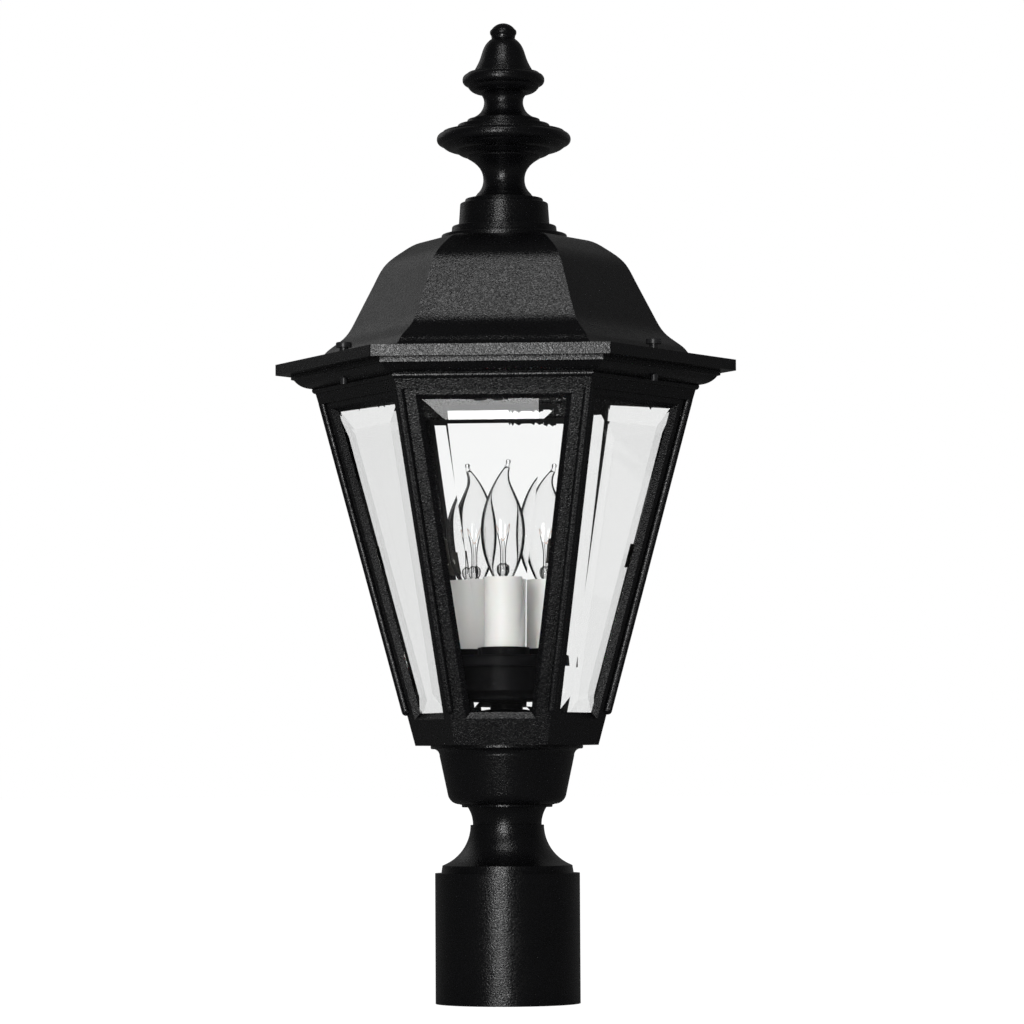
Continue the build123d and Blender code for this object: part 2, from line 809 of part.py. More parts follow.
with BuildPart() as clip_screws:
    for angle in face_angles:
        head_plane = face_plane(angle).offset(-cage_wall - clip_thickness)
        for side in (-1, 1):
            spot = face_point(clip_screw_inset, clip_middle, side)
            with BuildSketch(head_plane):
                with Locations(spot):
                    Circle(clip_screw_head_diameter / 2)
            extrude(amount=-clip_screw_head_height)
            with BuildSketch(head_plane):
                with Locations(spot):
                    Circle(clip_screw_diameter / 2)
            extrude(amount=clip_thickness + clip_screw_length - clip_screw_end_gap)
clip_screws.part.label = "clip_screws"
export_step(clip_screws.part, "parts/clip_screws.step")

# ---------------------------------------------------------------- cornice

band_foot = (cornice_foot, cage_rim)
band_top = (cornice_foot + cornice_band_lean, cage_rim + cornice_band_height)
bead_top = (band_top[0] + cornice_bead_lean, band_top[1] + cornice_bead_height)
cornice_lip_foot = bead_top[1] + cornice_cove_height
cove_end = (cornice_reach - cornice_lip_step, cornice_lip_foot - cornice_lip_edge)
flange_top = cage_rim + cornice_flange_thickness

with BuildPart() as cornice_sector:
    with BuildSketch(front_section):
        with BuildLine():
            Line(band_foot, band_top)
            ThreePointArc(band_top, between(band_top, bead_top, cornice_bead_bow), bead_top)
            ThreePointArc(bead_top, between(bead_top, cove_end, cornice_cove_bow), cove_end)
            Polyline(
                cove_end,
                (cornice_reach, cornice_lip_foot),
                (cornice_reach, cornice_top),
                (cornice_inside, cornice_top),
                (cornice_inside, flange_top),
                (cornice_inside - cornice_flange_width, flange_top),
                (cornice_inside - cornice_flange_width, cage_rim),
                band_foot,
            )
        make_face()
    extrude(amount=brim_reach, both=True)
    with BuildSketch(Plane.XY.offset(cage_rim)):
        Polygon(*sector, align=None)
    extrude(amount=cornice_height, mode=Mode.INTERSECT)

with BuildPart() as cornice:
    with PolarLocations(0, sides):
        add(cornice_sector.part)
    with BuildSketch(Plane.XY.offset(flange_top)):
        with PolarLocations(cage_rim_corner - cornice_screw_inset, sides):
            Circle(cornice_screw_diameter / 2 + slip_gap)
    extrude(amount=-cornice_flange_thickness, mode=Mode.SUBTRACT)
    for angle in screw_face_angles:
        with BuildSketch(Plane.XY.offset(cornice_top)):
            with Locations(polar(roof_screw_reach, angle)):
                Circle(roof_screw_diameter / 2 + thread_gap)
        extrude(amount=-cornice_height, mode=Mode.SUBTRACT)
cornice.part.label = "cornice"
export_step(cornice.part, "parts/cornice.step")

with BuildPart() as cornice_screws:
    with BuildSketch(Plane.XY.offset(flange_top)):
        with PolarLocations(cage_rim_corner - cornice_screw_inset, sides):
            Circle(cornice_screw_head_diameter / 2)
    extrude(amount=cornice_screw_head_height)
    with BuildSketch(Plane.XY.offset(flange_top)):
        with PolarLocations(cage_rim_corner - cornice_screw_inset, sides):
            Circle(cornice_screw_diameter / 2)
    extrude(amount=-cornice_flange_thickness - cornice_screw_length)
cornice_screws.part.label = "cornice_screws"
export_step(cornice_screws.part, "parts/cornice_screws.step")

# ---------------------------------------------------------------- roof

flare_end = (flare_reach, brim_top + flare_foot_rise)
ogee = [between((roof_flat, roof_top), flare_end, share) for share in ogee_shares]
core_end = (roof_core_reach, flare_end[1] + roof_core_rise)
core_ogee = [(reach - roof_wall_side, height - roof_wall_top) for reach, height in reversed(ogee[:-1])]

with BuildPart() as roof_sector:
    with BuildSketch(front_section):
        with BuildLine():
            Line((0, roof_top), ogee[0])
            Spline(*ogee, flare_end, tangents=((1, 0), (1, -flare_foot_slope)))
            Polyline(
                flare_end,
                (flare_end[0] + 2 * flare_foot_rise, brim_top),
                (brim_reach, brim_top),
                (brim_reach, cornice_top),
                (roof_core_reach, cornice_top),
                core_end,
            )
            Spline(core_end, *core_ogee, tangents=((-1, roof_core_slope), (-1, 0)))
            Polyline(core_ogee[-1], (0, roof_ceiling), (0, roof_top))
        make_face()
    extrude(amount=brim_reach, both=True)
    with BuildSketch(Plane.XY.offset(cornice_top)):
        Polygon(*sector, align=None)
    extrude(amount=roof_height, mode=Mode.INTERSECT)

with BuildPart() as roof:
    with PolarLocations(0, sides):
        add(roof_sector.part)
    brim_corners = roof.edges().filter_by(Axis.Z).group_by(SortBy.DISTANCE)[-1]
    fillet(brim_corners, radius=brim_edge_radius)
    with BuildSketch(Plane.XY.offset(roof_top)):
        Circle(rod_hole_radius)
    extrude(amount=-2 * roof_wall_top, mode=Mode.SUBTRACT)
    for angle in screw_face_angles:
        with BuildSketch(Plane.XY.offset(brim_top + 2 * flare_foot_rise)):
            with Locations(polar(roof_screw_reach, angle)):
                Circle(roof_screw_diameter / 2 + roof_screw_hole_gap)
        extrude(amount=-brim_thickness - 4 * flare_foot_rise, mode=Mode.SUBTRACT)
roof.part.label = "roof"
export_step(roof.part, "parts/roof.step")

# ---------------------------------------------------------------- roof screws

neck_top = brim_top + roof_screw_neck_height
for number, angle in enumerate(screw_face_angles, start=1):
    spot = polar(roof_screw_reach, angle)
    with BuildPart() as roof_screw:
        with BuildSketch(Plane.XY.offset(neck_top)):
            with Locations(spot):
                Circle(roof_screw_head_diameter / 2)
        extrude(amount=roof_screw_head_height)
        head_edge = roof_screw.edges().filter_by(GeomType.CIRCLE).sort_by(Axis.Z)[-1]
        fillet(head_edge, radius=roof_screw_head_round)
        with BuildSketch(Plane.XY.offset(neck_top)):
            with Locations(spot):
                Circle(roof_screw_neck_diameter / 2)
        extrude(amount=-roof_screw_neck_height)
        with BuildSketch(Plane.XY.offset(brim_top)):
            with Locations(spot):
                Circle(roof_screw_diameter / 2)
        extrude(amount=-roof_screw_length)
        with BuildSketch(Plane.XY.offset(neck_top + roof_screw_head_height)):
            with Locations(spot):
                Rectangle(2 * roof_screw_head_diameter, roof_screw_slot, rotation=angle)
        extrude(amount=-roof_screw_head_height / 2, mode=Mode.SUBTRACT)
    roof_screw.part.label = f"roof_screw_{number}"
    export_step(roof_screw.part, f"parts/roof_screw_{number}.step")

# ---------------------------------------------------------------- finial


def at_share(point, radius, foot, height):
    """Point of a turned outline from its shares of a radius and of a height."""
    return (point[0] * radius, foot + point[1] * height)


def base_point(point):
    """Point of the finial base's outline."""
    return at_share(point, plinth_radius, roof_top, finial_base_height)


def stem_point(point):
    """Point of the finial stem's outline."""
    return at_share(point, dish_radius, finial_stem_foot, finial_stem_height)


def top_point(point):
    """Point of the finial top's outline."""
    return at_share(point, brow_radius, finial_top_foot, finial_top_height)


stem_joint = (finial_joint_radius, finial_stem_foot)
top_joint = (cup_foot_radius, finial_top_foot)

with BuildPart() as finial_base:
    with BuildSketch(Plane.XZ):
        with BuildLine():
            Polyline((rod_hole_radius, roof_top), (plinth_radius, roof_top), base_point(plinth_side))
            ThreePointArc(base_point(plinth_side), base_point(plinth_round), base_point(plinth_edge))
            Polyline(
                base_point(plinth_edge),
                base_point(step_foot),
                base_point(step_side),
                base_point(step_edge),
                base_point(hub_foot),
                base_point(hub_shoulder),
            )
            ThreePointArc(base_point(hub_shoulder), base_point(hub_round), base_point(hub_edge))
            Polyline(
                base_point(hub_edge),
                base_point(hub_step),
                base_point(hub_step_side),
                base_point(hub_step_edge),
                base_point(hub_top),
            )
            ThreePointArc(base_point(hub_top), base_point(hub_cove), stem_joint)
            Polyline(stem_joint, (rod_hole_radius, finial_stem_foot), (rod_hole_radius, roof_top))
        make_face()
    revolve(axis=Axis.Z)
finial_base.part.label = "finial_base"
export_step(finial_base.part, "parts/finial_base.step")

with BuildPart() as finial_stem:
    with BuildSketch(Plane.XZ):
        with BuildLine():
            Line((rod_hole_radius, finial_stem_foot), stem_joint)
            Spline(stem_joint, stem_point(stem_neck), stem_point(dish_foot), tangents=stem_directions)
            Line(stem_point(dish_foot), stem_point(dish_foot_edge))
            ThreePointArc(stem_point(dish_foot_edge), stem_point(dish_under), stem_point(dish_step))
            ThreePointArc(stem_point(dish_step), stem_point(dish_step_flank), stem_point(dish_step_rim))
            Line(stem_point(dish_step_rim), stem_point(dish_lip))
            ThreePointArc(stem_point(dish_lip), stem_point(dish_flank), stem_point(dish_rim))
            ThreePointArc(stem_point(dish_rim), stem_point(dish_rim_side), stem_point(dish_rim_top))
            Polyline(
                stem_point(dish_rim_top),
                stem_point(first_tier_side),
                stem_point(first_tier_edge),
                stem_point(second_tier_foot),
                stem_point(second_tier_side),
                stem_point(second_tier_edge),
                stem_point(third_tier_foot),
                stem_point(third_tier_side),
                stem_point(third_tier_edge),
                stem_point(upper_foot),
            )
            Spline(
                stem_point(upper_foot),
                stem_point(upper_flare),
                stem_point(upper_neck),
                top_joint,
                tangents=upper_directions,
            )
            Polyline(top_joint, (rod_hole_radius, finial_top_foot), (rod_hole_radius, finial_stem_foot))
        make_face()
    revolve(axis=Axis.Z)
finial_stem.part.label = "finial_stem"
export_step(finial_stem.part, "parts/finial_stem.step")

# The knob ends in a piece of a ball with its centre on the axis.
ball_start = top_point(ball_edge)
ball_top = finial_top_foot + finial_top_height
ball_rise = ball_top - ball_start[1]
ball_radius = (ball_start[0] ** 2 + ball_rise**2) / (2 * ball_rise)
ball_centre = ball_top - ball_radius
ball_angle = atan2(ball_start[0], ball_start[1] - ball_centre)
ball_middle = (ball_radius * sin(ball_angle / 2), ball_centre + ball_radius * cos(ball_angle / 2))
rod_bore_end = finial_top_foot + rod_reach + rod_end_gap

with BuildPart() as finial_top:
    with BuildSketch(Plane.XZ):
        with BuildLine():
            Polyline(
                (0, rod_bore_end),
                (rod_hole_radius, rod_bore_end),
                (rod_hole_radius, finial_top_foot),
                top_joint,
                top_point(cup_edge),
            )
            ThreePointArc(top_point(cup_edge), top_point(cup_side), top_point(cup_rim))
            Line(top_point(cup_rim), top_point(cup_rim_edge))
            ThreePointArc(top_point(cup_rim_edge), top_point(brow_under), top_point(brow))
            ThreePointArc(top_point(brow), top_point(brow_side), top_point(brow_top))
            Polyline(
                top_point(brow_top),
                top_point(brow_step),
                top_point(brow_step_edge),
                top_point(bell_foot),
            )
            Spline(
                top_point(bell_foot),
                top_point(bell_side),
                top_point(bell_waist),
                top_point(bell_shoulder),
                top_point(bell_top),
                tangents=bell_directions,
            )
            Polyline(top_point(bell_top), top_point(knob_groove_low), top_point(knob_groove_high))
            ThreePointArc(top_point(knob_groove_high), top_point(knob_side), top_point(knob_shoulder))
            Line(top_point(knob_shoulder), ball_start)
            ThreePointArc(ball_start, ball_middle, (0, ball_top))
            Line((0, ball_top), (0, rod_bore_end))
        make_face()
    revolve(axis=Axis.Z)
finial_top.part.label = "finial_top"
export_step(finial_top.part, "parts/finial_top.step")

# ---------------------------------------------------------------- finial rod, washer and nut

rod_washer_foot = roof_ceiling - rod_washer_thickness
rod_nut_foot = rod_washer_foot - rod_nut_height

with BuildPart() as finial_rod:
    with BuildSketch(Plane.XY.offset(rod_nut_foot - rod_tail)):
        Circle(rod_diameter / 2)
    extrude(amount=finial_top_foot + rod_reach - rod_nut_foot + rod_tail)
finial_rod.part.label = "finial_rod"
export_step(finial_rod.part, "parts/finial_rod.step")

with BuildPart() as finial_washer:
    with BuildSketch(Plane.XY.offset(rod_washer_foot)):
        Circle(rod_washer_diameter / 2)
        Circle(rod_hole_radius, mode=Mode.SUBTRACT)
    extrude(amount=rod_washer_thickness)
finial_washer.part.label = "finial_washer"
export_step(finial_washer.part, "parts/finial_washer.step")

with BuildPart() as finial_nut:
    with BuildSketch(Plane.XY.offset(rod_nut_foot)):
        RegularPolygon(rod_nut_flats / 2, 6, major_radius=False)
        Circle(rod_diameter / 2 + thread_gap, mode=Mode.SUBTRACT)
    extrude(amount=rod_nut_height)
finial_nut.part.label = "finial_nut"
export_step(finial_nut.part, "parts/finial_nut.step")

# ---------------------------------------------------------------- canopy, drum and cover

canopy_side = floor_top + canopy_side_height
canopy_neck = floor_top + canopy_dome_height

dome_start = (canopy_radius, canopy_side)
dome_end = (canopy_neck_radius, canopy_neck)
dome_core_start = (nipple_hole_radius, canopy_neck - canopy_wall)
dome_core_end = (canopy_radius - canopy_wall, canopy_side)

with BuildPart() as canopy:
    with BuildSketch(Plane.XZ):
        with BuildLine():
            Line((canopy_radius, floor_top), dome_start)
            ThreePointArc(dome_start, between(dome_start, dome_end, canopy_bow), dome_end)
            Polyline(
                dome_end,
                (canopy_neck_radius, drum_foot),
                (nipple_hole_radius, drum_foot),
                dome_core_start,
            )
            dome_core_middle = between(dome_core_end, dome_core_start, canopy_core_bow)
            ThreePointArc(dome_core_start, dome_core_middle, dome_core_end)
            Polyline(
                dome_core_end,
                (canopy_radius - canopy_wall, floor_top),
                (canopy_radius, floor_top),
            )
        make_face()
    revolve(axis=Axis.Z)
canopy.part.label = "canopy"
export_step(canopy.part, "parts/canopy.step")

drum_shoulder = drum_foot + drum_foot_height
drum_inside = drum_radius - drum_wall

foot_round_start = (drum_foot_radius - drum_foot_round, drum_foot)
foot_round_end = (drum_foot_radius, drum_foot + drum_foot_round)
foot_round_middle = between(foot_round_start, foot_round_end, (sin(radians(45)), 1 - cos(radians(45))))

with BuildPart() as cluster_body:
    with BuildSketch(Plane.XZ):
        with BuildLine():
            Line((nipple_hole_radius, drum_foot), foot_round_start)
            ThreePointArc(foot_round_start, foot_round_middle, foot_round_end)
            Polyline(
                foot_round_end,
                (drum_foot_radius, drum_shoulder),
                (drum_radius, drum_shoulder + drum_step),
                (drum_radius, drum_top),
                (drum_inside, drum_top),
                (drum_inside, drum_shoulder + drum_step),
                (drum_foot_radius - drum_wall, drum_floor_top),
                (nipple_hole_radius, drum_floor_top),
                (nipple_hole_radius, drum_foot),
            )
        make_face()
    revolve(axis=Axis.Z)
cluster_body.part.label = "cluster_body"
export_step(cluster_body.part, "parts/cluster_body.step")

socket_hole_radius = socket_nipple_diameter / 2 + slip_gap

with BuildPart() as cluster_cover:
    with BuildSketch(Plane.XY.offset(cover_top)):
        Circle(cover_radius)
    extrude(amount=-cover_skirt_height)
    fillet(cluster_cover.edges().sort_by(Axis.Z)[-1], radius=cover_round)
    with BuildSketch(Plane.XY.offset(drum_top)):
        Circle(cover_radius - cover_skirt_wall)
    extrude(amount=-cover_skirt_height, mode=Mode.SUBTRACT)
    with BuildSketch(Plane.XY.offset(cover_top)):
        with Locations(*candle_places):
            Circle(socket_hole_radius)
    extrude(amount=-cover_plate, mode=Mode.SUBTRACT)
cluster_cover.part.label = "cluster_cover"
export_step(cluster_cover.part, "parts/cluster_cover.step")

# ---------------------------------------------------------------- socket nipples, nuts and brackets

socket_nipple_foot = drum_top - socket_nut_height - socket_nipple_end
socket_nipple_top = cup_floor_top + bracket_thickness + socket_nipple_end

with BuildPart() as socket_nipples:
    with BuildSketch(Plane.XY.offset(socket_nipple_foot)):
        with Locations(*candle_places):
            Circle(socket_nipple_diameter / 2)
            Circle(socket_nipple_bore / 2, mode=Mode.SUBTRACT)
    extrude(amount=socket_nipple_top - socket_nipple_foot)
socket_nipples.part.label = "socket_nipples"
export_step(socket_nipples.part, "parts/socket_nipples.step")

with BuildPart() as socket_nuts:
    with BuildSketch(Plane.XY.offset(drum_top - socket_nut_height)):
        with Locations(*candle_places):
            RegularPolygon(socket_nut_flats / 2, 6, major_radius=False)
            Circle(socket_nipple_diameter / 2 + thread_gap, mode=Mode.SUBTRACT)
    extrude(amount=socket_nut_height)
socket_nuts.part.label = "socket_nuts"
export_step(socket_nuts.part, "parts/socket_nuts.step")

with BuildPart() as socket_brackets:
    leg_middle = bracket_reach - bracket_thickness / 2
    bracket_tongue = bracket_reach * bracket_tongue_share
    for x, y in candle_places:
        with BuildSketch(Plane.XY.offset(cup_floor_top)):
            with Locations((x, y)):
                Circle(bracket_foot_radius)
            with Locations((x + bracket_reach / 2, y)):
                Rectangle(bracket_reach, bracket_width)
            with Locations((x, y)):
                Circle(socket_nipple_diameter / 2 + thread_gap, mode=Mode.SUBTRACT)
        extrude(amount=bracket_thickness)
        with BuildSketch(Plane.XY.offset(cup_floor_top)):
            with Locations((x + leg_middle, y)):
                Rectangle(bracket_thickness, bracket_width)
        extrude(amount=bracket_height)
        with BuildSketch(Plane.XY.offset(bracket_top)):
            with Locations((x + bracket_reach - bracket_tongue / 2, y)):
                Rectangle(bracket_tongue, bracket_width)
        extrude(amount=-bracket_thickness)
socket_brackets.part.label = "socket_brackets"
export_step(socket_brackets.part, "parts/socket_brackets.step")

with BuildPart() as socket_contacts:
    with BuildSketch(Plane.XY.offset(socket_floor_top)):
        with Locations(*candle_places):
            Circle(contact_base_radius)
    extrude(amount=contact_base_thickness)
    with BuildSketch(Plane.XY.offset(socket_floor_top)):
        with Locations(*candle_places):
            Circle(contact_tip_radius)
    extrude(amount=contact_height)
socket_contacts.part.label = "socket_contacts"
export_step(socket_contacts.part, "parts/socket_contacts.step")

# ---------------------------------------------------------------- candles

cup_wall_inside = sleeve_radius + slip_gap
shell_inside = cap_radius + socket_gap
shell_outside = shell_inside + shell_wall

for number, (x, y) in enumerate(candle_places, start=1):
    with BuildPart() as candle_cup:
        with BuildSketch(Plane.XY.offset(cover_top)):
            with Locations((x, y)):
                Circle(cup_base_radius)
        extrude(amount=cup_base_height)
        fillet(candle_cup.edges().sort_by(Axis.Z)[-1], radius=cup_base_round)
        with BuildSketch(Plane.XY.offset(cup_floor_top)):
            with Locations((x, y)):
                Circle(cup_wall_inside)
        extrude(amount=cup_base_height, mode=Mode.SUBTRACT)
        with BuildSketch(Plane.XY.offset(cover_top)):
            with Locations((x, y)):
                Circle(socket_hole_radius)
        extrude(amount=cup_base_floor, mode=Mode.SUBTRACT)
    candle_cup.part.label = f"candle_cup_{number}"
    export_step(candle_cup.part, f"parts/candle_cup_{number}.step")

    with BuildPart() as candle_sleeve:
        with BuildSketch(Plane.XY.offset(cup_floor_top)):
            with Locations((x, y)):
                Circle(sleeve_radius)
                Circle(sleeve_radius - sleeve_wall, mode=Mode.SUBTRACT)
        extrude(amount=sleeve_height)
    candle_sleeve.part.label = f"candle_sleeve_{number}"
    export_step(candle_sleeve.part, f"parts/candle_sleeve_{number}.step")

    with BuildPart() as socket_body:
        with BuildSketch(Plane.XY.offset(bracket_top)):
            with Locations((x, y)):
                Circle(socket_body_radius)
        extrude(amount=socket_body_height)
        with BuildSketch(Plane.XY.offset(socket_floor_top)):
            with Locations((x, y)):
                Circle(socket_body_bore / 2)
        extrude(amount=socket_body_height, mode=Mode.SUBTRACT)
    socket_body.part.label = f"socket_body_{number}"
    export_step(socket_body.part, f"parts/socket_body_{number}.step")

    with BuildPart() as socket_shell:
        with BuildSketch(Plane.XY.offset(socket_floor_top)):
            with Locations((x, y)):
                Circle(shell_outside)
                Circle(shell_inside, mode=Mode.SUBTRACT)
        extrude(amount=shell_height)
    socket_shell.part.label = f"socket_shell_{number}"
    export_step(socket_shell.part, f"parts/socket_shell_{number}.step")

# ---------------------------------------------------------------- lamps

# Stations of the flame shape: share of the length, share of the radius, share of the lean.
neck_share = 0.41
flame = [
    (0.00, neck_share, 0.0),
    (0.11, neck_share + 0.02, 0.0),
    (0.17, 0.59, 0.0),
    (0.25, 0.79, 0.0),
    (0.34, 0.93, 0.0),
    (envelope_widest / envelope_length, 1.00, 0.0),
    (0.57, 0.95, -0.02),
    (0.67, 0.79, -0.08),
    (0.76, 0.57, -0.14),
    (0.84, 0.345, -0.06),
    (0.90, 0.215, 0.30),
    (0.95, 0.145, 0.75),
    (0.99, 0.095, 1.00),
]
flame_end = flame[-1]
tip_bead_radius = flame_end[1] * envelope_radius * tip_bead_share
tip_bead_height = envelope_foot + flame_end[0] * envelope_length
hollow_stations = flame[:-3]       # the tip itself is solid glass

for number, (x, y) in enumerate(candle_places, start=1):
    lean = polar(lean_lengths[number - 1], lean_angles[number - 1])

    with BuildPart() as bulb_glass:
        for rise, width, bend in flame:
            with BuildSketch(Plane.XY.offset(envelope_foot + rise * envelope_length)):
                with Locations((x + bend * lean[0], y + bend * lean[1])):
                    Circle(width * envelope_radius)
        loft()
        with Locations((x + lean[0], y + lean[1], tip_bead_height)):
            Sphere(tip_bead_radius)
        for rise, width, bend in hollow_stations:
            with BuildSketch(Plane.XY.offset(envelope_foot + rise * envelope_length)):
                with Locations((x + bend * lean[0], y + bend * lean[1])):
                    Circle(width * envelope_radius - envelope_wall)
        loft(mode=Mode.SUBTRACT)
    bulb_glass.part.label = f"bulb_glass_{number}"
    export_step(bulb_glass.part, f"parts/bulb_glass_{number}.step")

    with BuildPart() as bulb_cap:
        with BuildSketch(Plane.XY.offset(cap_foot)):
            with Locations((x, y)):
                Circle(cap_radius)
                Circle(cap_radius - cap_wall, mode=Mode.SUBTRACT)
        extrude(amount=cap_height)
        with BuildSketch(Plane.XY.offset(cap_foot)):
            with Locations((x, y)):
                Circle(insulator_radius)
        extrude(amount=-insulator_height, taper=insulator_taper)
        with BuildSketch(Plane.XY.offset(cap_foot)):
            with Locations((x, y)):
                Circle(cap_radius)
        extrude(amount=cap_wall)
        with BuildSketch(Plane.XY.offset(lamp_foot)):
            with Locations((x, y)):
                Circle(tip_radius)
        extrude(amount=tip_height)
    bulb_cap.part.label = f"bulb_cap_{number}"
    export_step(bulb_cap.part, f"parts/bulb_cap_{number}.step")

    waist_height = envelope_foot + stem_height * stem_waist[1]
    stem_top = envelope_foot + stem_height
    lead_top = stem_top + lead_height
    with BuildPart() as bulb_mount:
        with BuildSketch(Plane.XY.offset(envelope_foot)):
            with Locations((x, y)):
                Circle(stem_flare_radius)
        with BuildSketch(Plane.XY.offset(waist_height)):
            with Locations((x, y)):
                Circle(stem_press_radius * stem_waist[0])
        loft()
        with BuildSketch(Plane.XY.offset(waist_height)):
            with Locations((x, y)):
                Circle(stem_press_radius * stem_waist[0])
        with BuildSketch(Plane.XY.offset(stem_top)):
            with Locations((x, y)):
                Circle(stem_press_radius)
        loft()
        with BuildSketch(Plane.XY.offset(stem_top - lead_sink)):
            with Locations((x - lead_spacing / 2, y), (x + lead_spacing / 2, y)):
                Circle(lead_radius)
        extrude(amount=lead_height + lead_sink)
        arch = Plane(origin=(x, y, lead_top), x_dir=(1, 0, 0), z_dir=(0, -1, 0))
        with BuildLine(arch):
            ThreePointArc(
                (-lead_spacing / 2, -filament_sink),
                (0, filament_rise),
                (lead_spacing / 2, -filament_sink),
            )
        arch_start = Plane.XY.offset(lead_top - filament_sink)
        with BuildSketch(arch_start):
            with Locations((x - lead_spacing / 2, y)):
                Circle(filament_radius)
        sweep()
    bulb_mount.part.label = f"bulb_mount_{number}"
    export_step(bulb_mount.part, f"parts/bulb_mount_{number}.step")
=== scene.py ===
"""Looks of the post top lantern: finishes for its castings, panes and candles, its lamps, and the stage."""
import math
import random

import bmesh
import bpy
from bpy.props import FloatProperty, FloatVectorProperty, IntProperty, PointerProperty
from mathutils import Matrix, Vector


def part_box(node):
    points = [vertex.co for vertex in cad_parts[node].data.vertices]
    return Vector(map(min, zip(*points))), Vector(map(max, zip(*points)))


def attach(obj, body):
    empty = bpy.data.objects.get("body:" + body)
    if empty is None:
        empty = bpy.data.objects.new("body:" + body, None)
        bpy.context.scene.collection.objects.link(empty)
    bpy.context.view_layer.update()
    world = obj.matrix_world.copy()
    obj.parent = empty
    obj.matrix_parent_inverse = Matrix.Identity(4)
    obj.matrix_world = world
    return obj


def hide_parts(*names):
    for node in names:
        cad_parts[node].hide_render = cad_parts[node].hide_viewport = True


bl_info = {
    "name": "Post top lantern",
    "version": (1, 0, 0),
    "blender": (4, 5, 0),
    "location": "View3D > Sidebar > Lantern",
    "description": "Finishes, lamps and stage for a six-sided post top lantern",
    "category": "Object",
}

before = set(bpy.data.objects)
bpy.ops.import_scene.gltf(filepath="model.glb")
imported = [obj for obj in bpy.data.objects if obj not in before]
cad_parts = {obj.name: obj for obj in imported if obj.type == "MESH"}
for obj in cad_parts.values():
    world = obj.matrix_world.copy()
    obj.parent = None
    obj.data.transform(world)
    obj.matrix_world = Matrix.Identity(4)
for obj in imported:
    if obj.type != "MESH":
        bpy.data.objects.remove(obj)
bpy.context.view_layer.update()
MM = 0.001
SIDES = 6
CANDLES = 3
FULL_TURN = 2.0 * math.pi
MERGE_DISTANCE = 0.01 * MM
WHITE = (1.0, 1.0, 1.0, 1.0)

CAST_NODES = (
    "post_fitter", "bowl", "cage", "cornice", "roof", "finial_base", "finial_stem", "finial_top",
    "set_screw_front", "set_screw_right", "set_screw_left",
)
SATIN_NODES = (
    "canopy", "cluster_body", "cluster_cover", "candle_cup_1", "candle_cup_2", "candle_cup_3",
)
SCREW_NODES = ("roof_screw_1", "roof_screw_2", "roof_screw_3")
STEEL_NODES = (
    "nipple", "nipple_nuts", "nipple_washers", "clip_screws", "cornice_screws", "finial_rod",
    "finial_washer", "finial_nut", "socket_nipples", "socket_nuts", "socket_brackets",
)


# ---------------------------------------------------------------- settings

class LanternMetalSettings(bpy.types.PropertyGroup):
    """Sizes and colours of the metal finishes"""

    coat_color: FloatVectorProperty(
        name="Coat colour", description="Colour of the powder coat on the castings",
        subtype="COLOR", size=3, default=(0.0024, 0.0024, 0.0028), min=0.0, max=1.0)
    coat_roughness: FloatProperty(
        name="Coat roughness", description="Roughness of the powder coat",
        subtype="FACTOR", default=0.18, min=0.0, max=1.0)
    grain_size: FloatProperty(
        name="Grain size", description="Width of one grain of the coat's texture",
        unit="LENGTH", default=0.95 * MM, min=0.1 * MM)
    grain_depth: FloatProperty(
        name="Grain depth", description="Height of the coat's texture",
        unit="LENGTH", default=0.19 * MM, min=0.0)
    screw_color: FloatVectorProperty(
        name="Screw colour", description="Colour of the blackened screws",
        subtype="COLOR", size=3, default=(0.012, 0.012, 0.013), min=0.0, max=1.0)
    steel_color: FloatVectorProperty(
        name="Steel colour", description="Colour of the zinc plated steel inside",
        subtype="COLOR", size=3, default=(0.55, 0.53, 0.48), min=0.0, max=1.0)
    brass_color: FloatVectorProperty(
        name="Brass colour", description="Colour of lamp caps and contacts",
        subtype="COLOR", size=3, default=(0.72, 0.50, 0.22), min=0.0, max=1.0)
    earth_color: FloatVectorProperty(
        name="Earth screw colour", description="Colour of the earth screw",
        subtype="COLOR", size=3, default=(0.03, 0.22, 0.07), min=0.0, max=1.0)


class LanternGlassSettings(bpy.types.PropertyGroup):
    """Colours of the panes and the sealant"""

    pane_color: FloatVectorProperty(
        name="Pane colour", description="Tint of the bevelled panes",
        subtype="COLOR", size=3, default=(0.965, 0.968, 0.966), min=0.0, max=1.0)
    pane_ior: FloatProperty(
        name="Pane index", description="Refractive index of the panes", default=1.36, min=1.0, max=2.5)
    sealant_color: FloatVectorProperty(
        name="Sealant colour", description="Colour of the sealant behind the window frames",
        subtype="COLOR", size=3, default=(0.008, 0.008, 0.008), min=0.0, max=1.0)


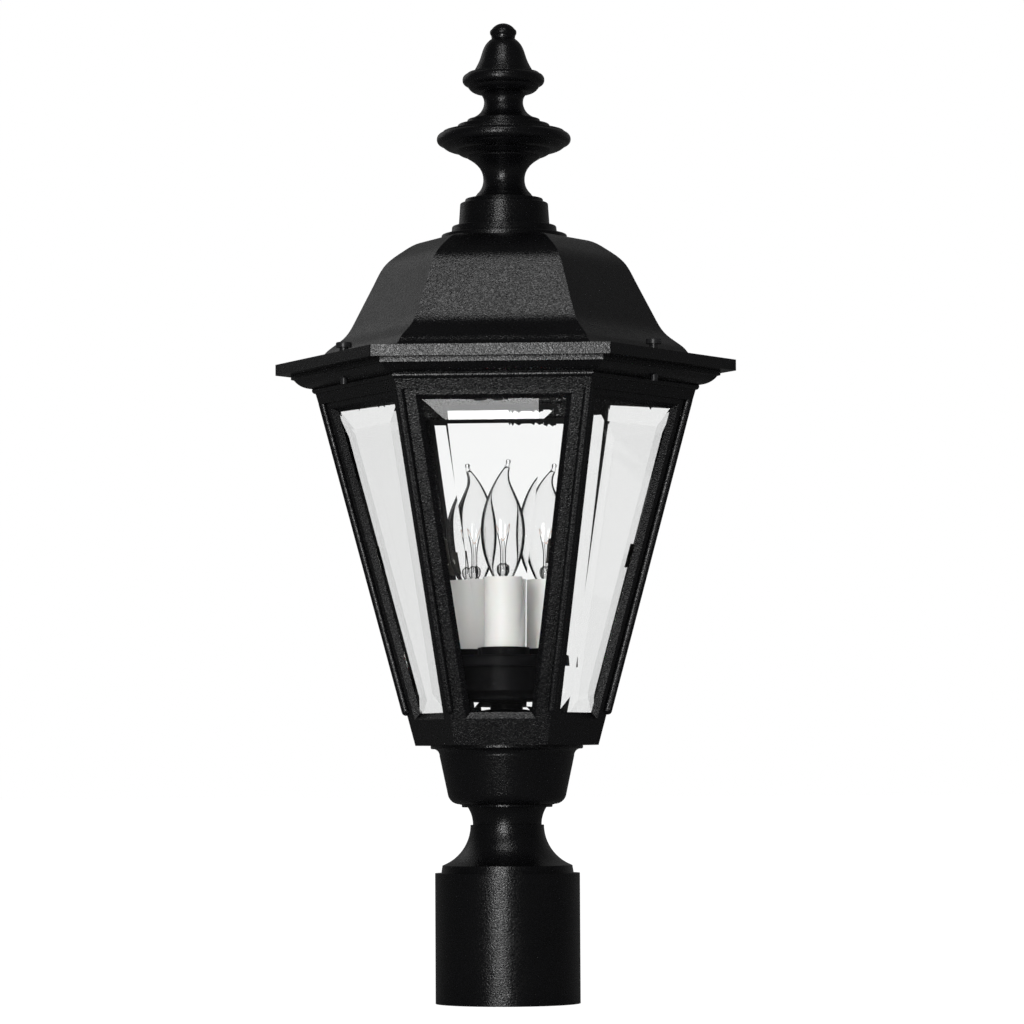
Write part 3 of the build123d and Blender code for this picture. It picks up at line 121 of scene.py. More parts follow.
class LanternCandleSettings(bpy.types.PropertyGroup):
    """Colours and sizes of the candles and lamps"""

    sleeve_color: FloatVectorProperty(
        name="Sleeve colour", description="Colour of the candle sleeves",
        subtype="COLOR", size=3, default=(0.80, 0.79, 0.77), min=0.0, max=1.0)
    socket_color: FloatVectorProperty(
        name="Socket colour", description="Colour of the sockets' moulded bodies",
        subtype="COLOR", size=3, default=(0.03, 0.026, 0.022), min=0.0, max=1.0)
    lamp_color: FloatVectorProperty(
        name="Lamp glass colour", description="Tint of the lamps' glass",
        subtype="COLOR", size=3, default=(1.0, 1.0, 1.0), min=0.0, max=1.0)
    lamp_wall: FloatProperty(
        name="Lamp wall", description="Wall of a lamp's glass",
        unit="LENGTH", default=0.7 * MM, min=0.1 * MM)
    stem_color: FloatVectorProperty(
        name="Stem colour", description="Tint of the glass stem inside a lamp",
        subtype="COLOR", size=3, default=(0.72, 0.72, 0.72), min=0.0, max=1.0)
    wire_color: FloatVectorProperty(
        name="Lead wire colour", description="Colour of the lead and support wires",
        subtype="COLOR", size=3, default=(0.06, 0.06, 0.06), min=0.0, max=1.0)
    filament_color: FloatVectorProperty(
        name="Filament colour", description="Colour of the filament",
        subtype="COLOR", size=3, default=(0.75, 0.30, 0.08), min=0.0, max=1.0)
    ring_steps: IntProperty(
        name="Steps", description="Steps around a turned piece", default=96, min=12)


class LanternStageSettings(bpy.types.PropertyGroup):
    """Floor, lamps and camera"""

    floor_color: FloatVectorProperty(
        name="Floor colour", description="Colour of the floor",
        subtype="COLOR", size=3, default=(0.92, 0.92, 0.92), min=0.0, max=1.0)
    floor_glow: FloatProperty(
        name="Floor glow", description="Brightness of the floor to look at", default=1.14, min=0.0)
    floor_share: FloatProperty(
        name="Floor share", description="How much of the floor's look is its glow and not its shadow",
        subtype="FACTOR", default=0.84, min=0.0, max=1.0)
    floor_dimming: FloatProperty(
        name="Floor dimming", description="How much of the floor's brightness is kept from gloss",
        subtype="FACTOR", default=0.96, min=0.0, max=1.0)
    camera_distance: FloatProperty(
        name="Camera distance", description="Camera to the lantern's axis",
        unit="LENGTH", default=2.6235, min=0.1)
    camera_height: FloatProperty(
        name="Camera height", description="Height of the camera", unit="LENGTH", default=0.1294)
    camera_turn: FloatProperty(
        name="Camera turn", description="How far the camera stands round from the front window",
        subtype="ANGLE", default=math.radians(4.0))
    camera_aim: FloatProperty(
        name="Aim height", description="Height that the camera looks at", unit="LENGTH", default=0.2856)
    camera_offset: FloatProperty(
        name="Aim offset", description="How far right of the axis the camera looks",
        unit="LENGTH", default=0.0037)
    camera_roll: FloatProperty(
        name="Camera roll", description="Roll of the camera", subtype="ANGLE", default=math.radians(-0.3))
    camera_lens: FloatProperty(
        name="Lens", description="Focal length in millimetres", unit="CAMERA", default=158.2, min=1.0)
    front_power: FloatProperty(
        name="Front light", description="Power of the front light", unit="POWER", default=18.0, min=0.0)
    top_power: FloatProperty(
        name="Top light", description="Power of the overhead light", unit="POWER", default=4.4, min=0.0)
    left_power: FloatProperty(
        name="Left light", description="Power of the light behind on the left", unit="POWER",
        default=0.85, min=0.0)
    low_power: FloatProperty(
        name="Low lights", description="Power of each low light on the cage's edges", unit="POWER",
        default=0.65, min=0.0)
    fill: FloatProperty(
        name="Fill", description="Strength of the plain light from all round", default=0.72, min=0.0)
    front_gloss: FloatProperty(
        name="Front gloss", description="Brightness that gloss shows from the front", default=0.025, min=0.0)
    back_gloss: FloatProperty(
        name="Back gloss", description="Brightness that gloss shows from behind", default=0.11, min=0.0)
    glass_gain: FloatProperty(
        name="Glass gain", description="Brightness of the background behind the panes, which makes up for "
        "what four surfaces reflect", default=1.08, min=0.0)


# ---------------------------------------------------------------- shader helpers

class Shader:
    """A material's or group's node tree, with short ways to add and join nodes."""

    def __init__(self, tree):
        self.tree = tree

    def node(self, kind, inputs=None, **settings):
        """Add a node, with values or links for its inputs."""
        made = self.tree.nodes.new(kind)
        for key, value in settings.items():
            setattr(made, key, value)
        for key, value in (inputs or {}).items():
            self.feed(value, made.inputs[key])
        return made

    def feed(self, value, socket):
        """Link an output to a socket, or set the socket's own value."""
        if isinstance(value, bpy.types.NodeSocket):
            self.tree.links.new(value, socket)
        else:
            socket.default_value = value

    def math(self, operation, *values):
        """Sum, product or other result of two values."""
        made = self.node("ShaderNodeMath", operation=operation)
        for index, value in enumerate(values):
            self.feed(value, made.inputs[index])
        return made.outputs[0]

    def mix(self, factor, first, second):
        """Colour between two colours."""
        made = self.node("ShaderNodeMix", data_type="RGBA")
        self.feed(factor, made.inputs["Factor"])
        self.feed(first, made.inputs[6])
        self.feed(second, made.inputs[7])
        return made.outputs[2]

    def spread(self, value, low, high, to_low=0.0, to_high=1.0):
        """Value carried over from one range to another, and kept inside it."""
        made = self.node("ShaderNodeMapRange", {
            "Value": value, "From Min": low, "From Max": high, "To Min": to_low, "To Max": to_high})
        return made.outputs[0]


def rgba(color):
    """Opaque colour from the three numbers of a colour setting."""
    return (*tuple(color)[:3], 1.0)


def new_group(name, inputs, outputs):
    """Shader node group with a Vector input, float inputs {name: default} and outputs {name: type}."""
    tree = bpy.data.node_groups.new(name, "ShaderNodeTree")
    tree.interface.new_socket(name="Vector", in_out="INPUT", socket_type="NodeSocketVector")
    for key, default in inputs.items():
        socket = tree.interface.new_socket(name=key, in_out="INPUT", socket_type="NodeSocketFloat")
        socket.default_value = default
    for key, kind in outputs.items():
        tree.interface.new_socket(name=key, in_out="OUTPUT", socket_type=kind)
    shader = Shader(tree)
    return shader, shader.node("NodeGroupInput"), shader.node("NodeGroupOutput")


def coat_grain_group():
    """Pebbly texture of a powder coat on a sand casting: a height, glossy specks and soft clouds."""
    name = "Coat grain"
    if name in bpy.data.node_groups:
        return bpy.data.node_groups[name]
    flattening = 1.45
    fine_share = 0.85
    speck_share = 0.72
    cloud_scale = 45.0
    height_shares = (0.5, 0.5)
    speck_range = (0.44, 0.58)
    cloud_range = (0.35, 0.68)
    shader, given, result = new_group(name, {"Grain": 1.0 * MM}, {
        "Height": "NodeSocketFloat", "Specks": "NodeSocketFloat", "Clouds": "NodeSocketFloat"})
    scale = shader.math("DIVIDE", 1.0, given.outputs["Grain"])
    flattened = shader.node("ShaderNodeMapping", {
        "Vector": given.outputs["Vector"], "Scale": (1.0, 1.0, flattening)})
    pebbles = shader.node("ShaderNodeTexVoronoi", {
        "Vector": flattened.outputs[0], "Scale": scale, "Smoothness": 0.35, "Randomness": 1.0},
        feature="SMOOTH_F1")
    fine = shader.node("ShaderNodeTexNoise", {
        "Vector": flattened.outputs[0], "Scale": shader.math("MULTIPLY", scale, fine_share),
        "Detail": 2.5, "Roughness": 0.6})
    specks = shader.node("ShaderNodeTexNoise", {
        "Vector": flattened.outputs[0], "Scale": shader.math("MULTIPLY", scale, speck_share),
        "Detail": 1.0, "Roughness": 0.5})
    clouds = shader.node("ShaderNodeTexNoise", {
        "Vector": given.outputs["Vector"], "Scale": cloud_scale, "Detail": 4.0, "Roughness": 0.6})
    rounded = shader.math("SUBTRACT", 1.0, pebbles.outputs["Distance"])
    height = shader.math("ADD", shader.math("MULTIPLY", rounded, height_shares[0]),
                         shader.math("MULTIPLY", fine.outputs["Fac"], height_shares[1]))
    shader.feed(height, result.inputs["Height"])
    shader.feed(shader.spread(specks.outputs["Fac"], *speck_range), result.inputs["Specks"])
    shader.feed(shader.spread(clouds.outputs["Fac"], *cloud_range), result.inputs["Clouds"])
    return shader.tree


def machining_group():
    """Fine turned lines that run round Z, and small tarnish clouds."""
    name = "Machining"
    if name in bpy.data.node_groups:
        return bpy.data.node_groups[name]
    stretch = 0.05
    tarnish_scale = 160.0
    tarnish_range = (0.42, 0.68)
    shader, given, result = new_group(
        name, {"Line spacing": 0.4 * MM}, {"Lines": "NodeSocketFloat", "Tarnish": "NodeSocketFloat"})
    stretched = shader.node("ShaderNodeMapping", {
        "Vector": given.outputs["Vector"], "Scale": (stretch, stretch, 1.0)})
    lines = shader.node("ShaderNodeTexNoise", {
        "Vector": stretched.outputs[0], "Scale": shader.math("DIVIDE", 1.0, given.outputs["Line spacing"]),
        "Detail": 3.0, "Roughness": 0.6})
    tarnish = shader.node("ShaderNodeTexNoise", {
        "Vector": given.outputs["Vector"], "Scale": tarnish_scale, "Detail": 4.0, "Roughness": 0.65})
    shader.feed(lines.outputs["Fac"], result.inputs["Lines"])
    shader.feed(shader.spread(tarnish.outputs["Fac"], *tarnish_range), result.inputs["Tarnish"])
    return shader.tree


def new_material(name):
    """Material with an empty tree, its shader helper, its output node and Object coordinates."""
    material = bpy.data.materials.new(name)
    material.use_nodes = True
    material.node_tree.nodes.clear()
    shader = Shader(material.node_tree)
    output = shader.node("ShaderNodeOutputMaterial")
    place = shader.node("ShaderNodeTexCoord").outputs["Object"]
    return material, shader, output, place


def coated_metal(name, color, roughness, grain, depth, speckle=0.0, specular=0.5):
    """Textured powder coat; speckle is how much rougher it is between its glossy specks."""
    material, shader, output, place = new_material(name)
    texture = shader.node("ShaderNodeGroup", node_tree=coat_grain_group())
    shader.feed(place, texture.inputs["Vector"])
    shader.feed(grain, texture.inputs["Grain"])
    bump = shader.node("ShaderNodeBump", {
        "Strength": 1.0, "Distance": depth, "Height": texture.outputs["Height"]})
    cloud_tone = rgba([c * 1.25 for c in color])
    speck_tone = rgba([c * 1.6 for c in color])
    uneven = 0.02
    tone = shader.mix(texture.outputs["Clouds"], rgba(color), cloud_tone)
    tone = shader.mix(texture.outputs["Specks"], tone, speck_tone)
    gloss = shader.spread(texture.outputs["Clouds"], 0.0, 1.0, roughness - uneven, roughness + uneven)
    matte = shader.math("MULTIPLY", shader.math("SUBTRACT", 1.0, texture.outputs["Specks"]), speckle)
    surface = shader.node("ShaderNodeBsdfPrincipled", {
        "Base Color": tone, "Roughness": shader.math("ADD", gloss, matte),
        "Specular IOR Level": specular, "Normal": bump.outputs[0]})
    shader.feed(surface.outputs[0], output.inputs["Surface"])
    return material


def bare_metal(name, color, roughness, spacing):
    """Plated or bare metal with fine turned lines and some tarnish."""
    material, shader, output, place = new_material(name)
    texture = shader.node("ShaderNodeGroup", node_tree=machining_group())
    shader.feed(place, texture.inputs["Vector"])
    shader.feed(spacing, texture.inputs["Line spacing"])
    bump = shader.node("ShaderNodeBump", {
        "Strength": 0.35, "Distance": 0.05 * MM, "Height": texture.outputs["Lines"]})
    tarnished_tone = rgba([c * 0.55 for c in color])
    tarnished_roughness = roughness + 0.22
    tone = shader.mix(texture.outputs["Tarnish"], rgba(color), tarnished_tone)
    gloss = shader.spread(texture.outputs["Tarnish"], 0.0, 1.0, roughness, tarnished_roughness)
    surface = shader.node("ShaderNodeBsdfPrincipled", {
        "Base Color": tone, "Roughness": gloss, "Metallic": 1.0, "Normal": bump.outputs[0]})
    shader.feed(surface.outputs[0], output.inputs["Surface"])
    return material


def clear_glass(name, color, ior, waviness, edge_shade, edge_shade_start, edge_shade_full, tip=None):
    """Clear glass with painted shade where it is seen edge on, in place of the dark surroundings that its
    edges would show; above the height tip the painted shade reaches further in.
    """
    wave_scale = 55.0
    material, shader, output, place = new_material(name)
    waves = shader.node("ShaderNodeTexNoise", {"Vector": place, "Scale": wave_scale, "Detail": 1.0})
    bump = shader.node("ShaderNodeBump", {
        "Strength": 0.25, "Distance": waviness, "Height": waves.outputs["Fac"]})
    facing = shader.node("ShaderNodeLayerWeight", {"Blend": 0.5}).outputs["Facing"]
    if tip is not None:
        # Painted shade: above the height tip the darkening at the edges reaches further in.
        tip_shade_gain = 0.4
        fade = 1.0 * MM
        height = shader.node("ShaderNodeSeparateXYZ", {"Vector": place}).outputs["Z"]
        facing = shader.math("ADD", facing, shader.spread(height, tip, tip + fade, 0.0, tip_shade_gain))
    # Painted shade: the base colour darkens where the glass is seen edge on, standing in for the dark
    # surroundings that its edges would show.
    edge_shade_mask = shader.spread(facing, edge_shade_start, edge_shade_full)
    tone = shader.mix(edge_shade_mask, rgba(color), rgba([c * edge_shade for c in color]))
    surface = shader.node("ShaderNodeBsdfPrincipled", {
        "Base Color": tone, "Roughness": 0.0, "IOR": ior, "Transmission Weight": 1.0,
        "Normal": bump.outputs[0]})
    see_through = shader.node("ShaderNodeBsdfTransparent", {"Color": rgba(color)})
    shadow = shader.node("ShaderNodeLightPath").outputs["Is Shadow Ray"]
    both = shader.node("ShaderNodeMixShader")
    shader.feed(shadow, both.inputs[0])
    shader.feed(surface.outputs[0], both.inputs[1])
    shader.feed(see_through.outputs[0], both.inputs[2])
    shader.feed(both.outputs[0], output.inputs["Surface"])
    return material


def moulded_plastic(name, color, roughness, specular, subsurface):
    """Smooth moulded plastic with a faint uneven skin."""
    skin_scale = 700.0
    mottle_scale = 60.0
    material, shader, output, place = new_material(name)
    skin = shader.node("ShaderNodeTexNoise", {"Vector": place, "Scale": skin_scale, "Detail": 3.0})
    mottle = shader.node("ShaderNodeTexNoise", {"Vector": place, "Scale": mottle_scale, "Detail": 4.0})
    bump = shader.node("ShaderNodeBump", {
        "Strength": 0.25, "Distance": 0.03 * MM, "Height": skin.outputs["Fac"]})
    mottled_tone = rgba([c * 0.94 for c in color])
    tone = shader.mix(shader.spread(mottle.outputs["Fac"], 0.35, 0.7), rgba(color), mottled_tone)
    gloss = shader.spread(mottle.outputs["Fac"], 0.3, 0.7, roughness - 0.03, roughness + 0.06)
    surface = shader.node("ShaderNodeBsdfPrincipled", {
        "Base Color": tone, "Roughness": gloss, "Specular IOR Level": specular,
        "Subsurface Weight": subsurface, "Subsurface Scale": 1.5 * MM, "Normal": bump.outputs[0]})
    shader.feed(surface.outputs[0], output.inputs["Surface"])
    return material


def rubbery(name, color):
    """Matte sealant with a lumpy skin, its lump tops painted lighter than the hollows between them as
    painted shade.
    """
    lump_scale = 420.0
    material, shader, output, place = new_material(name)
    lumps = shader.node("ShaderNodeTexNoise", {"Vector": place, "Scale": lump_scale, "Detail": 3.0})
    bump = shader.node("ShaderNodeBump", {
        "Strength": 0.7, "Distance": 0.2 * MM, "Height": lumps.outputs["Fac"]})
    # Painted shade: the colour goes from its own in the hollows to twice as light on the lump tops.
    painted_lump_light = rgba([c * 2.0 for c in color])
    tone = shader.mix(lumps.outputs["Fac"], rgba(color), painted_lump_light)
    surface = shader.node("ShaderNodeBsdfPrincipled", {
        "Base Color": tone, "Roughness": 0.55, "Specular IOR Level": 0.3, "Normal": bump.outputs[0]})
    shader.feed(surface.outputs[0], output.inputs["Surface"])
    return material


def numbered(name, count):
    """Names of a row of like nodes, counted from 1."""
    return [f"{name}_{number}" for number in range(1, count + 1)]


def dress(node_names, material):
    """Give CAD nodes a material."""
    for node_name in node_names:
        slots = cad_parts[node_name].data.materials
        slots.clear()
        slots.append(material)


# ---------------------------------------------------------------- mesh helpers

def finish_piece(bm, name, material, body, smooth_angle=40.0):
    """Turn a closed bmesh into an outward-facing object that rides on a body."""
    bmesh.ops.remove_doubles(bm, verts=bm.verts, dist=MERGE_DISTANCE)
    bmesh.ops.recalc_face_normals(bm, faces=bm.faces)
    mesh = bpy.data.meshes.new(name)
    bm.to_mesh(mesh)
    bm.free()
    piece = bpy.data.objects.new(name, mesh)
    bpy.context.scene.collection.objects.link(piece)
    mesh.materials.append(material)
    mesh.shade_smooth()
    mesh.set_sharp_from_angle(angle=math.radians(smooth_angle))
    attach(piece, body)
    return piece


def turned(bm, profile, steps):
    """Spin a profile of (radius, height) in millimetres about the Z axis."""
    points = [bm.verts.new((r * MM, 0.0, z * MM)) for r, z in profile]
    edges = [bm.edges.new(pair) for pair in zip(points, points[1:])]
    bmesh.ops.spin(
        bm, geom=points + edges, cent=(0.0, 0.0, 0.0), axis=(0.0, 0.0, 1.0),
        angle=FULL_TURN, steps=steps, use_merge=True, use_duplicate=False)


def smooth_line(points, steps):
    """Points on a smooth line through the given ones, with some steps from each to the next."""
    padded = [2 * points[0] - points[1]] + points + [2 * points[-1] - points[-2]]
    line = []
    for before, start, end, after in zip(padded, padded[1:], padded[2:], padded[3:]):
        for step in range(steps):
            t = step / steps
            line.append(0.5 * (2 * start + (end - before) * t
                               + (2 * before - 5 * start + 4 * end - after) * t * t
                               + (3 * start - before - 3 * end + after) * t * t * t))
    return line + [points[-1]]


def add_wire(bm, points, radius, sides=8):
    """Add a round wire along points, in metres, to a bmesh."""
    curve = bpy.data.curves.new("wire", "CURVE")
    curve.dimensions = "3D"
    curve.bevel_depth = radius
    curve.bevel_resolution = (sides - 4) // 2
    curve.use_fill_caps = True
    spline = curve.splines.new("POLY")
    spline.points.add(len(points) - 1)
    for point, place in zip(spline.points, points):
        point.co = (*place, 1.0)
    holder = bpy.data.objects.new("wire", curve)
    bpy.context.scene.collection.objects.link(holder)
    mesh = bpy.data.meshes.new_from_object(holder.evaluated_get(bpy.context.evaluated_depsgraph_get()))
    bm.from_mesh(mesh)
    bpy.data.objects.remove(holder)
    bpy.data.meshes.remove(mesh)
    bpy.data.curves.remove(curve)


# ---------------------------------------------------------------- operators

class LANTERN_OT_metal(bpy.types.Operator):
    """Give the castings, screws and inner metal pieces their finishes"""

    bl_idname = "lantern.metal"
    bl_label = "Finish metal"

    def execute(self, context):
        metal = context.scene.lantern_metal
        coat = coated_metal(
            "Black powder coat", metal.coat_color, roughness=metal.coat_roughness,
            grain=metal.grain_size, depth=metal.grain_depth, speckle=0.14)
        dress(CAST_NODES, coat)
        satin = coated_metal(
            "Satin black", metal.coat_color, roughness=0.38, grain=metal.grain_size, depth=0.03 * MM,
            specular=0.04)
        dress(SATIN_NODES, satin)
        black = coated_metal(
            "Blackened screw", metal.screw_color, roughness=0.34, grain=0.7 * MM, depth=0.03 * MM)
        dress(SCREW_NODES, black)
        zinc = bare_metal("Zinc plated steel", metal.steel_color, roughness=0.28, spacing=0.4 * MM)
        dress(STEEL_NODES, zinc)
        clip_color = [c * 0.12 for c in metal.steel_color]
        clips = bare_metal("Spring clip", clip_color, roughness=0.35, spacing=0.5 * MM)
        dress(("glass_clips",), clips)
        brass = bare_metal("Brass", metal.brass_color, roughness=0.22, spacing=0.3 * MM)
        dress(["socket_contacts"] + numbered("socket_shell", CANDLES), brass)
        dress(numbered("bulb_cap", CANDLES), brass)
        earth = coated_metal(
            "Green paint", metal.earth_color, roughness=0.35, grain=0.8 * MM, depth=0.03 * MM)
        dress(("ground_screw",), earth)
        return {"FINISHED"}


class LANTERN_OT_glass(bpy.types.Operator):
    """Give the panes and their seals their finishes"""

    bl_idname = "lantern.glass"
    bl_label = "Finish panes"

    # Window: (start, end, drop) of each bit, in millimetres. Windows count from 0 at the front,
    # counter-clockwise seen from above. Starts and ends are measured from the middle of the
    # window's top edge, and the drop is how far the sealant is squeezed out there.
    squeezed = {
        0: ((-11.5, 8.0, 1.5),),
        1: ((-19.0, -4.0, 1.6), (12.0, 21.0, 2.4)),
        3: ((-17.0, 4.0, 2.2), (-27.0, -20.5, 1.6)),
        5: ((-12.0, -8.0, 1.8), (13.0, 24.0, 2.6)),
    }
    # How far a bit reaches up behind the frame, in millimetres, the shares of its drop that its
    # ragged edge takes, how far apart these points are, in millimetres, and its thickness.
    tuck = 0.6
    depths = (0.15, 0.35, 0.5, 0.8, 1.0)
    spacing = (0.5, 2.4)
    bit_thickness = 0.16 * MM

    def execute(self, context):
        glass = context.scene.lantern_glass
        # The panes get a little painted shade where they are seen edge on.
        panes = clear_glass(
            "Pane glass", glass.pane_color, glass.pane_ior, waviness=0.004 * MM, edge_shade=0.8,
            edge_shade_start=0.7, edge_shade_full=0.98)
        dress(numbered("glass", SIDES), panes)
        sealant = rubbery("Sealant", glass.sealant_color)
        dress(("glass_seals",), sealant)
        self.sealant_bits(sealant)
        return {"FINISHED"}

    def sealant_bits(self, material):
        """Ragged bits of sealant that show past the top edges of some windows."""
        facing_limit = 0.88
        opening_corners = 4
        corners = [vert.co.copy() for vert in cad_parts["glass_seals"].data.vertices]
        middle = (min(point.z for point in corners) + max(point.z for point in corners)) / 2
        ragged = random.Random(11)
        bm = bmesh.new()
        for window, stretches in self.squeezed.items():
            angle = FULL_TURN * window / SIDES
            outward = Vector((math.sin(angle), -math.cos(angle), 0.0))
            along = Vector((math.cos(angle), math.sin(angle), 0.0))
            own = [p for p in corners if p.dot(outward) > facing_limit * p.to_2d().length]
            top = sorted((p for p in own if p.z > middle), key=lambda p: p.z)[:opening_corners]
            foot = sorted((p for p in own if p.z < middle), key=lambda p: -p.z)[:opening_corners]
            edge = sum(top, Vector()) / len(top)
            fall = (sum(foot, Vector()) / len(foot) - edge).normalized()
            for start, end, drop in stretches:
                self.add_ragged(bm, edge, along, fall, outward, (start, end, drop), ragged)
        piece = finish_piece(bm, "sealant_bits", material, "root", smooth_angle=20.0)

    def add_ragged(self, bm, edge, along, fall, outward, stretch, ragged):
        """Add one thin strip with a ragged lower edge, for a stretch of (start, end, drop)."""
        start, end, drop = stretch
        lower = []
        place = start
        while place < end:
            lower.append((place, drop * ragged.choice(self.depths)))
            place += ragged.uniform(*self.spacing)
        outline = [(start, -self.tuck)] + lower + [(end, 0.1), (end, -self.tuck)]
        inner = edge - outward * self.bit_thickness / 2
        points = [inner + (along * x + fall * y) * MM for x, y in outline]
        face = bm.faces.new([bm.verts.new(point) for point in points])
        thickened = bmesh.ops.extrude_face_region(bm, geom=[face])["geom"]
        moved = [item for item in thickened if isinstance(item, bmesh.types.BMVert)]
        bmesh.ops.translate(bm, verts=moved, vec=outward * self.bit_thickness)


class LANTERN_OT_candles(bpy.types.Operator):
    """Give the candle sleeves and sockets their finishes"""

    bl_idname = "lantern.candles"
    bl_label = "Finish candles"

    def execute(self, context):
        candle = context.scene.lantern_candle
        sleeve = moulded_plastic(
            "Candle sleeve", candle.sleeve_color, roughness=0.42, specular=0.4, subsurface=0.15)
        dress(numbered("candle_sleeve", CANDLES), sleeve)
        socket = moulded_plastic(
            "Socket plastic", candle.socket_color, roughness=0.5, specular=0.4, subsurface=0.0)
        dress(numbered("socket_body", CANDLES), socket)
        return {"FINISHED"}


class LANTERN_OT_lamps(bpy.types.Operator):
    """Build each lamp's bent-tip envelope, glass stem, lead wires and coiled filament"""

    bl_idname = "lantern.lamps"
    bl_label = "Build lamps"

    # Height above the envelope's lower end and radius, in millimetres, and share of the tip's lean.
    flame = (
        (0.0, 5.25, 0.0), (4.0, 5.3, 0.0), (8.5, 5.5, 0.0), (13.2, 7.6, 0.0), (19.4, 10.1, 0.0),
        (26.4, 11.95, 0.0), (35.0, 12.85, 0.0), (44.2, 12.2, -0.02), (52.0, 10.15, -0.08),
        (59.0, 7.3, -0.14), (65.2, 4.45, -0.06), (69.8, 2.75, 0.30), (73.2, 1.75, 0.75),
        (75.6, 1.15, 0.96),
    )
    knob = ((76.2, 1.32, 1.0), (77.0, 1.4, 1.0), (77.8, 1.1, 1.0), (78.1, 0.0, 1.0))
    # How far each lamp's tip leans along X and Y, in millimetres, and where the tip starts, above which the
    # lamp glass gets more painted shade at its edges.
    leans = ((3.3, 0.0), (4.6, 0.0), (-3.8, 0.0))
    tip_height = 75.0

    def execute(self, context):
        candle = context.scene.lantern_candle
        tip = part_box("bulb_glass_1")[0].z + self.tip_height * MM
        # The lamp glass is painted black where it is seen edge on, as painted dark outlines.
        lamp = clear_glass(
            "Lamp glass", candle.lamp_color, 1.4, waviness=0.004 * MM, edge_shade=0.0, edge_shade_start=0.54,
            edge_shade_full=0.66, tip=tip)
        wire = bare_metal("Lead wire", candle.wire_color, roughness=0.3, spacing=0.2 * MM)
        hot = bare_metal("Filament wire", candle.filament_color, roughness=0.35, spacing=0.2 * MM)
        # The stem glass is painted dark towards its edges, as painted shade.
        stem = clear_glass(
            "Stem glass", candle.stem_color, 1.5, waviness=0.05 * MM, edge_shade=0.02, edge_shade_start=0.15,
            edge_shade_full=0.5)
        for number in range(1, CANDLES + 1):
            cap_low, cap_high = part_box(f"bulb_cap_{number}")
            centre = (cap_low + cap_high) / 2
            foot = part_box(f"bulb_glass_{number}")[0].z
            place = (centre.x, centre.y)
            body = f"bulb_{number}"
            envelope = self.envelope(place, foot, self.leans[number - 1], number, lamp, body, candle)
            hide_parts(f"bulb_glass_{number}")
            press = self.stem(place, foot, number, stem, body)
            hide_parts(f"bulb_mount_{number}")
            leads = self.leads(place, foot, number, wire, body)
            filament = self.filament(place, foot, number, hot, body)
        return {"FINISHED"}

    def envelope(self, place, foot, lean, number, material, body, candle):
        """A blown glass shell with its sealed tip bent over."""
        outer = smooth_line([Vector(station) for station in self.flame], steps=4)
        wall = candle.lamp_wall / MM
        hollow_from = 2.4 * wall
        seal_height = 0.8
        inner = [Vector((z, r - wall, bend)) for z, r, bend in outer if r > hollow_from]
        seal = Vector((inner[-1].x + seal_height, 0.0, inner[-1].z))
        loop = [Vector(station) for station in reversed(self.knob)]
        loop += list(reversed(outer)) + inner + [seal]
        bm = bmesh.new()
        turned(bm, [(r, z) for z, r, bend in loop], candle.ring_steps)
        bends = {round(z, 3): bend for z, r, bend in loop}
        rings = {}
        for vert in bm.verts:
            rings.setdefault(round(vert.co.z / MM, 3), []).append(vert)
        for height, ring in rings.items():
            shift = bends[min(bends, key=lambda z: abs(z - height))]
            bmesh.ops.translate(bm, verts=ring, vec=Vector((*lean, 0.0)) * shift * MM)
        bmesh.ops.translate(bm, verts=bm.verts, vec=(*place, foot))
        return finish_piece(bm, f"lamp_envelope_{number}", material, body)

    def stem(self, place, foot, number, material, body):
        """The flared glass stem with its flat press and exhaust bead."""
        bm = bmesh.new()
        flare = [(3.8, 0.6), (3.4, 2.4), (2.6, 5.0), (2.3, 9.0), (2.6, 11.0), (3.5, 12.6), (3.7, 15.2),
                 (3.2, 16.8), (1.6, 17.6), (0.0, 17.8)]
        steps = 32
        press_height = 9.5 * MM
        flatness = 0.55
        line = smooth_line([Vector((r, z)) for r, z in flare], steps=3)
        base = [(0.0, flare[0][1])]
        turned(bm, base + [(max(r, 0.0), z) for r, z in line], steps)
        press = [v for v in bm.verts if v.co.z > press_height]
        bmesh.ops.scale(bm, verts=press, vec=(1.0, flatness, 1.0))
        bmesh.ops.translate(bm, verts=bm.verts, vec=(*place, foot))
        return finish_piece(bm, f"lamp_stem_{number}", material, body)

    def leads(self, place, foot, number, material, body):
        """Two lead wires that spread at the top, with a bead each, and two thin supports between."""
        bm = bmesh.new()
        origin = Vector((*place, foot))
        lead = ((1.3, 0, 11.0), (1.4, 0, 18.5), (1.5, 0.1, 26.0), (2.3, 0.1, 31.5), (3.2, 0, 35.5))
        support = ((0.4, 0.3, 14.0), (0.45, 0.3, 24.0), (0.9, 0.4, 31.0))
        bead = ((1.38, 0, 17.2), (1.38, 0, 18.0))
        for side in (-1, 1):
            for path, radius in ((lead, 0.28 * MM), (support, 0.15 * MM)):
                line = smooth_line([Vector((side * x, y, z)) * MM for x, y, z in path], steps=4)
                add_wire(bm, [origin + p for p in line], radius)
            ends = [origin + Vector((side * x, y, z)) * MM for x, y, z in bead]
            add_wire(bm, ends, 0.62 * MM, sides=12)
        return finish_piece(bm, f"lamp_leads_{number}", material, body)

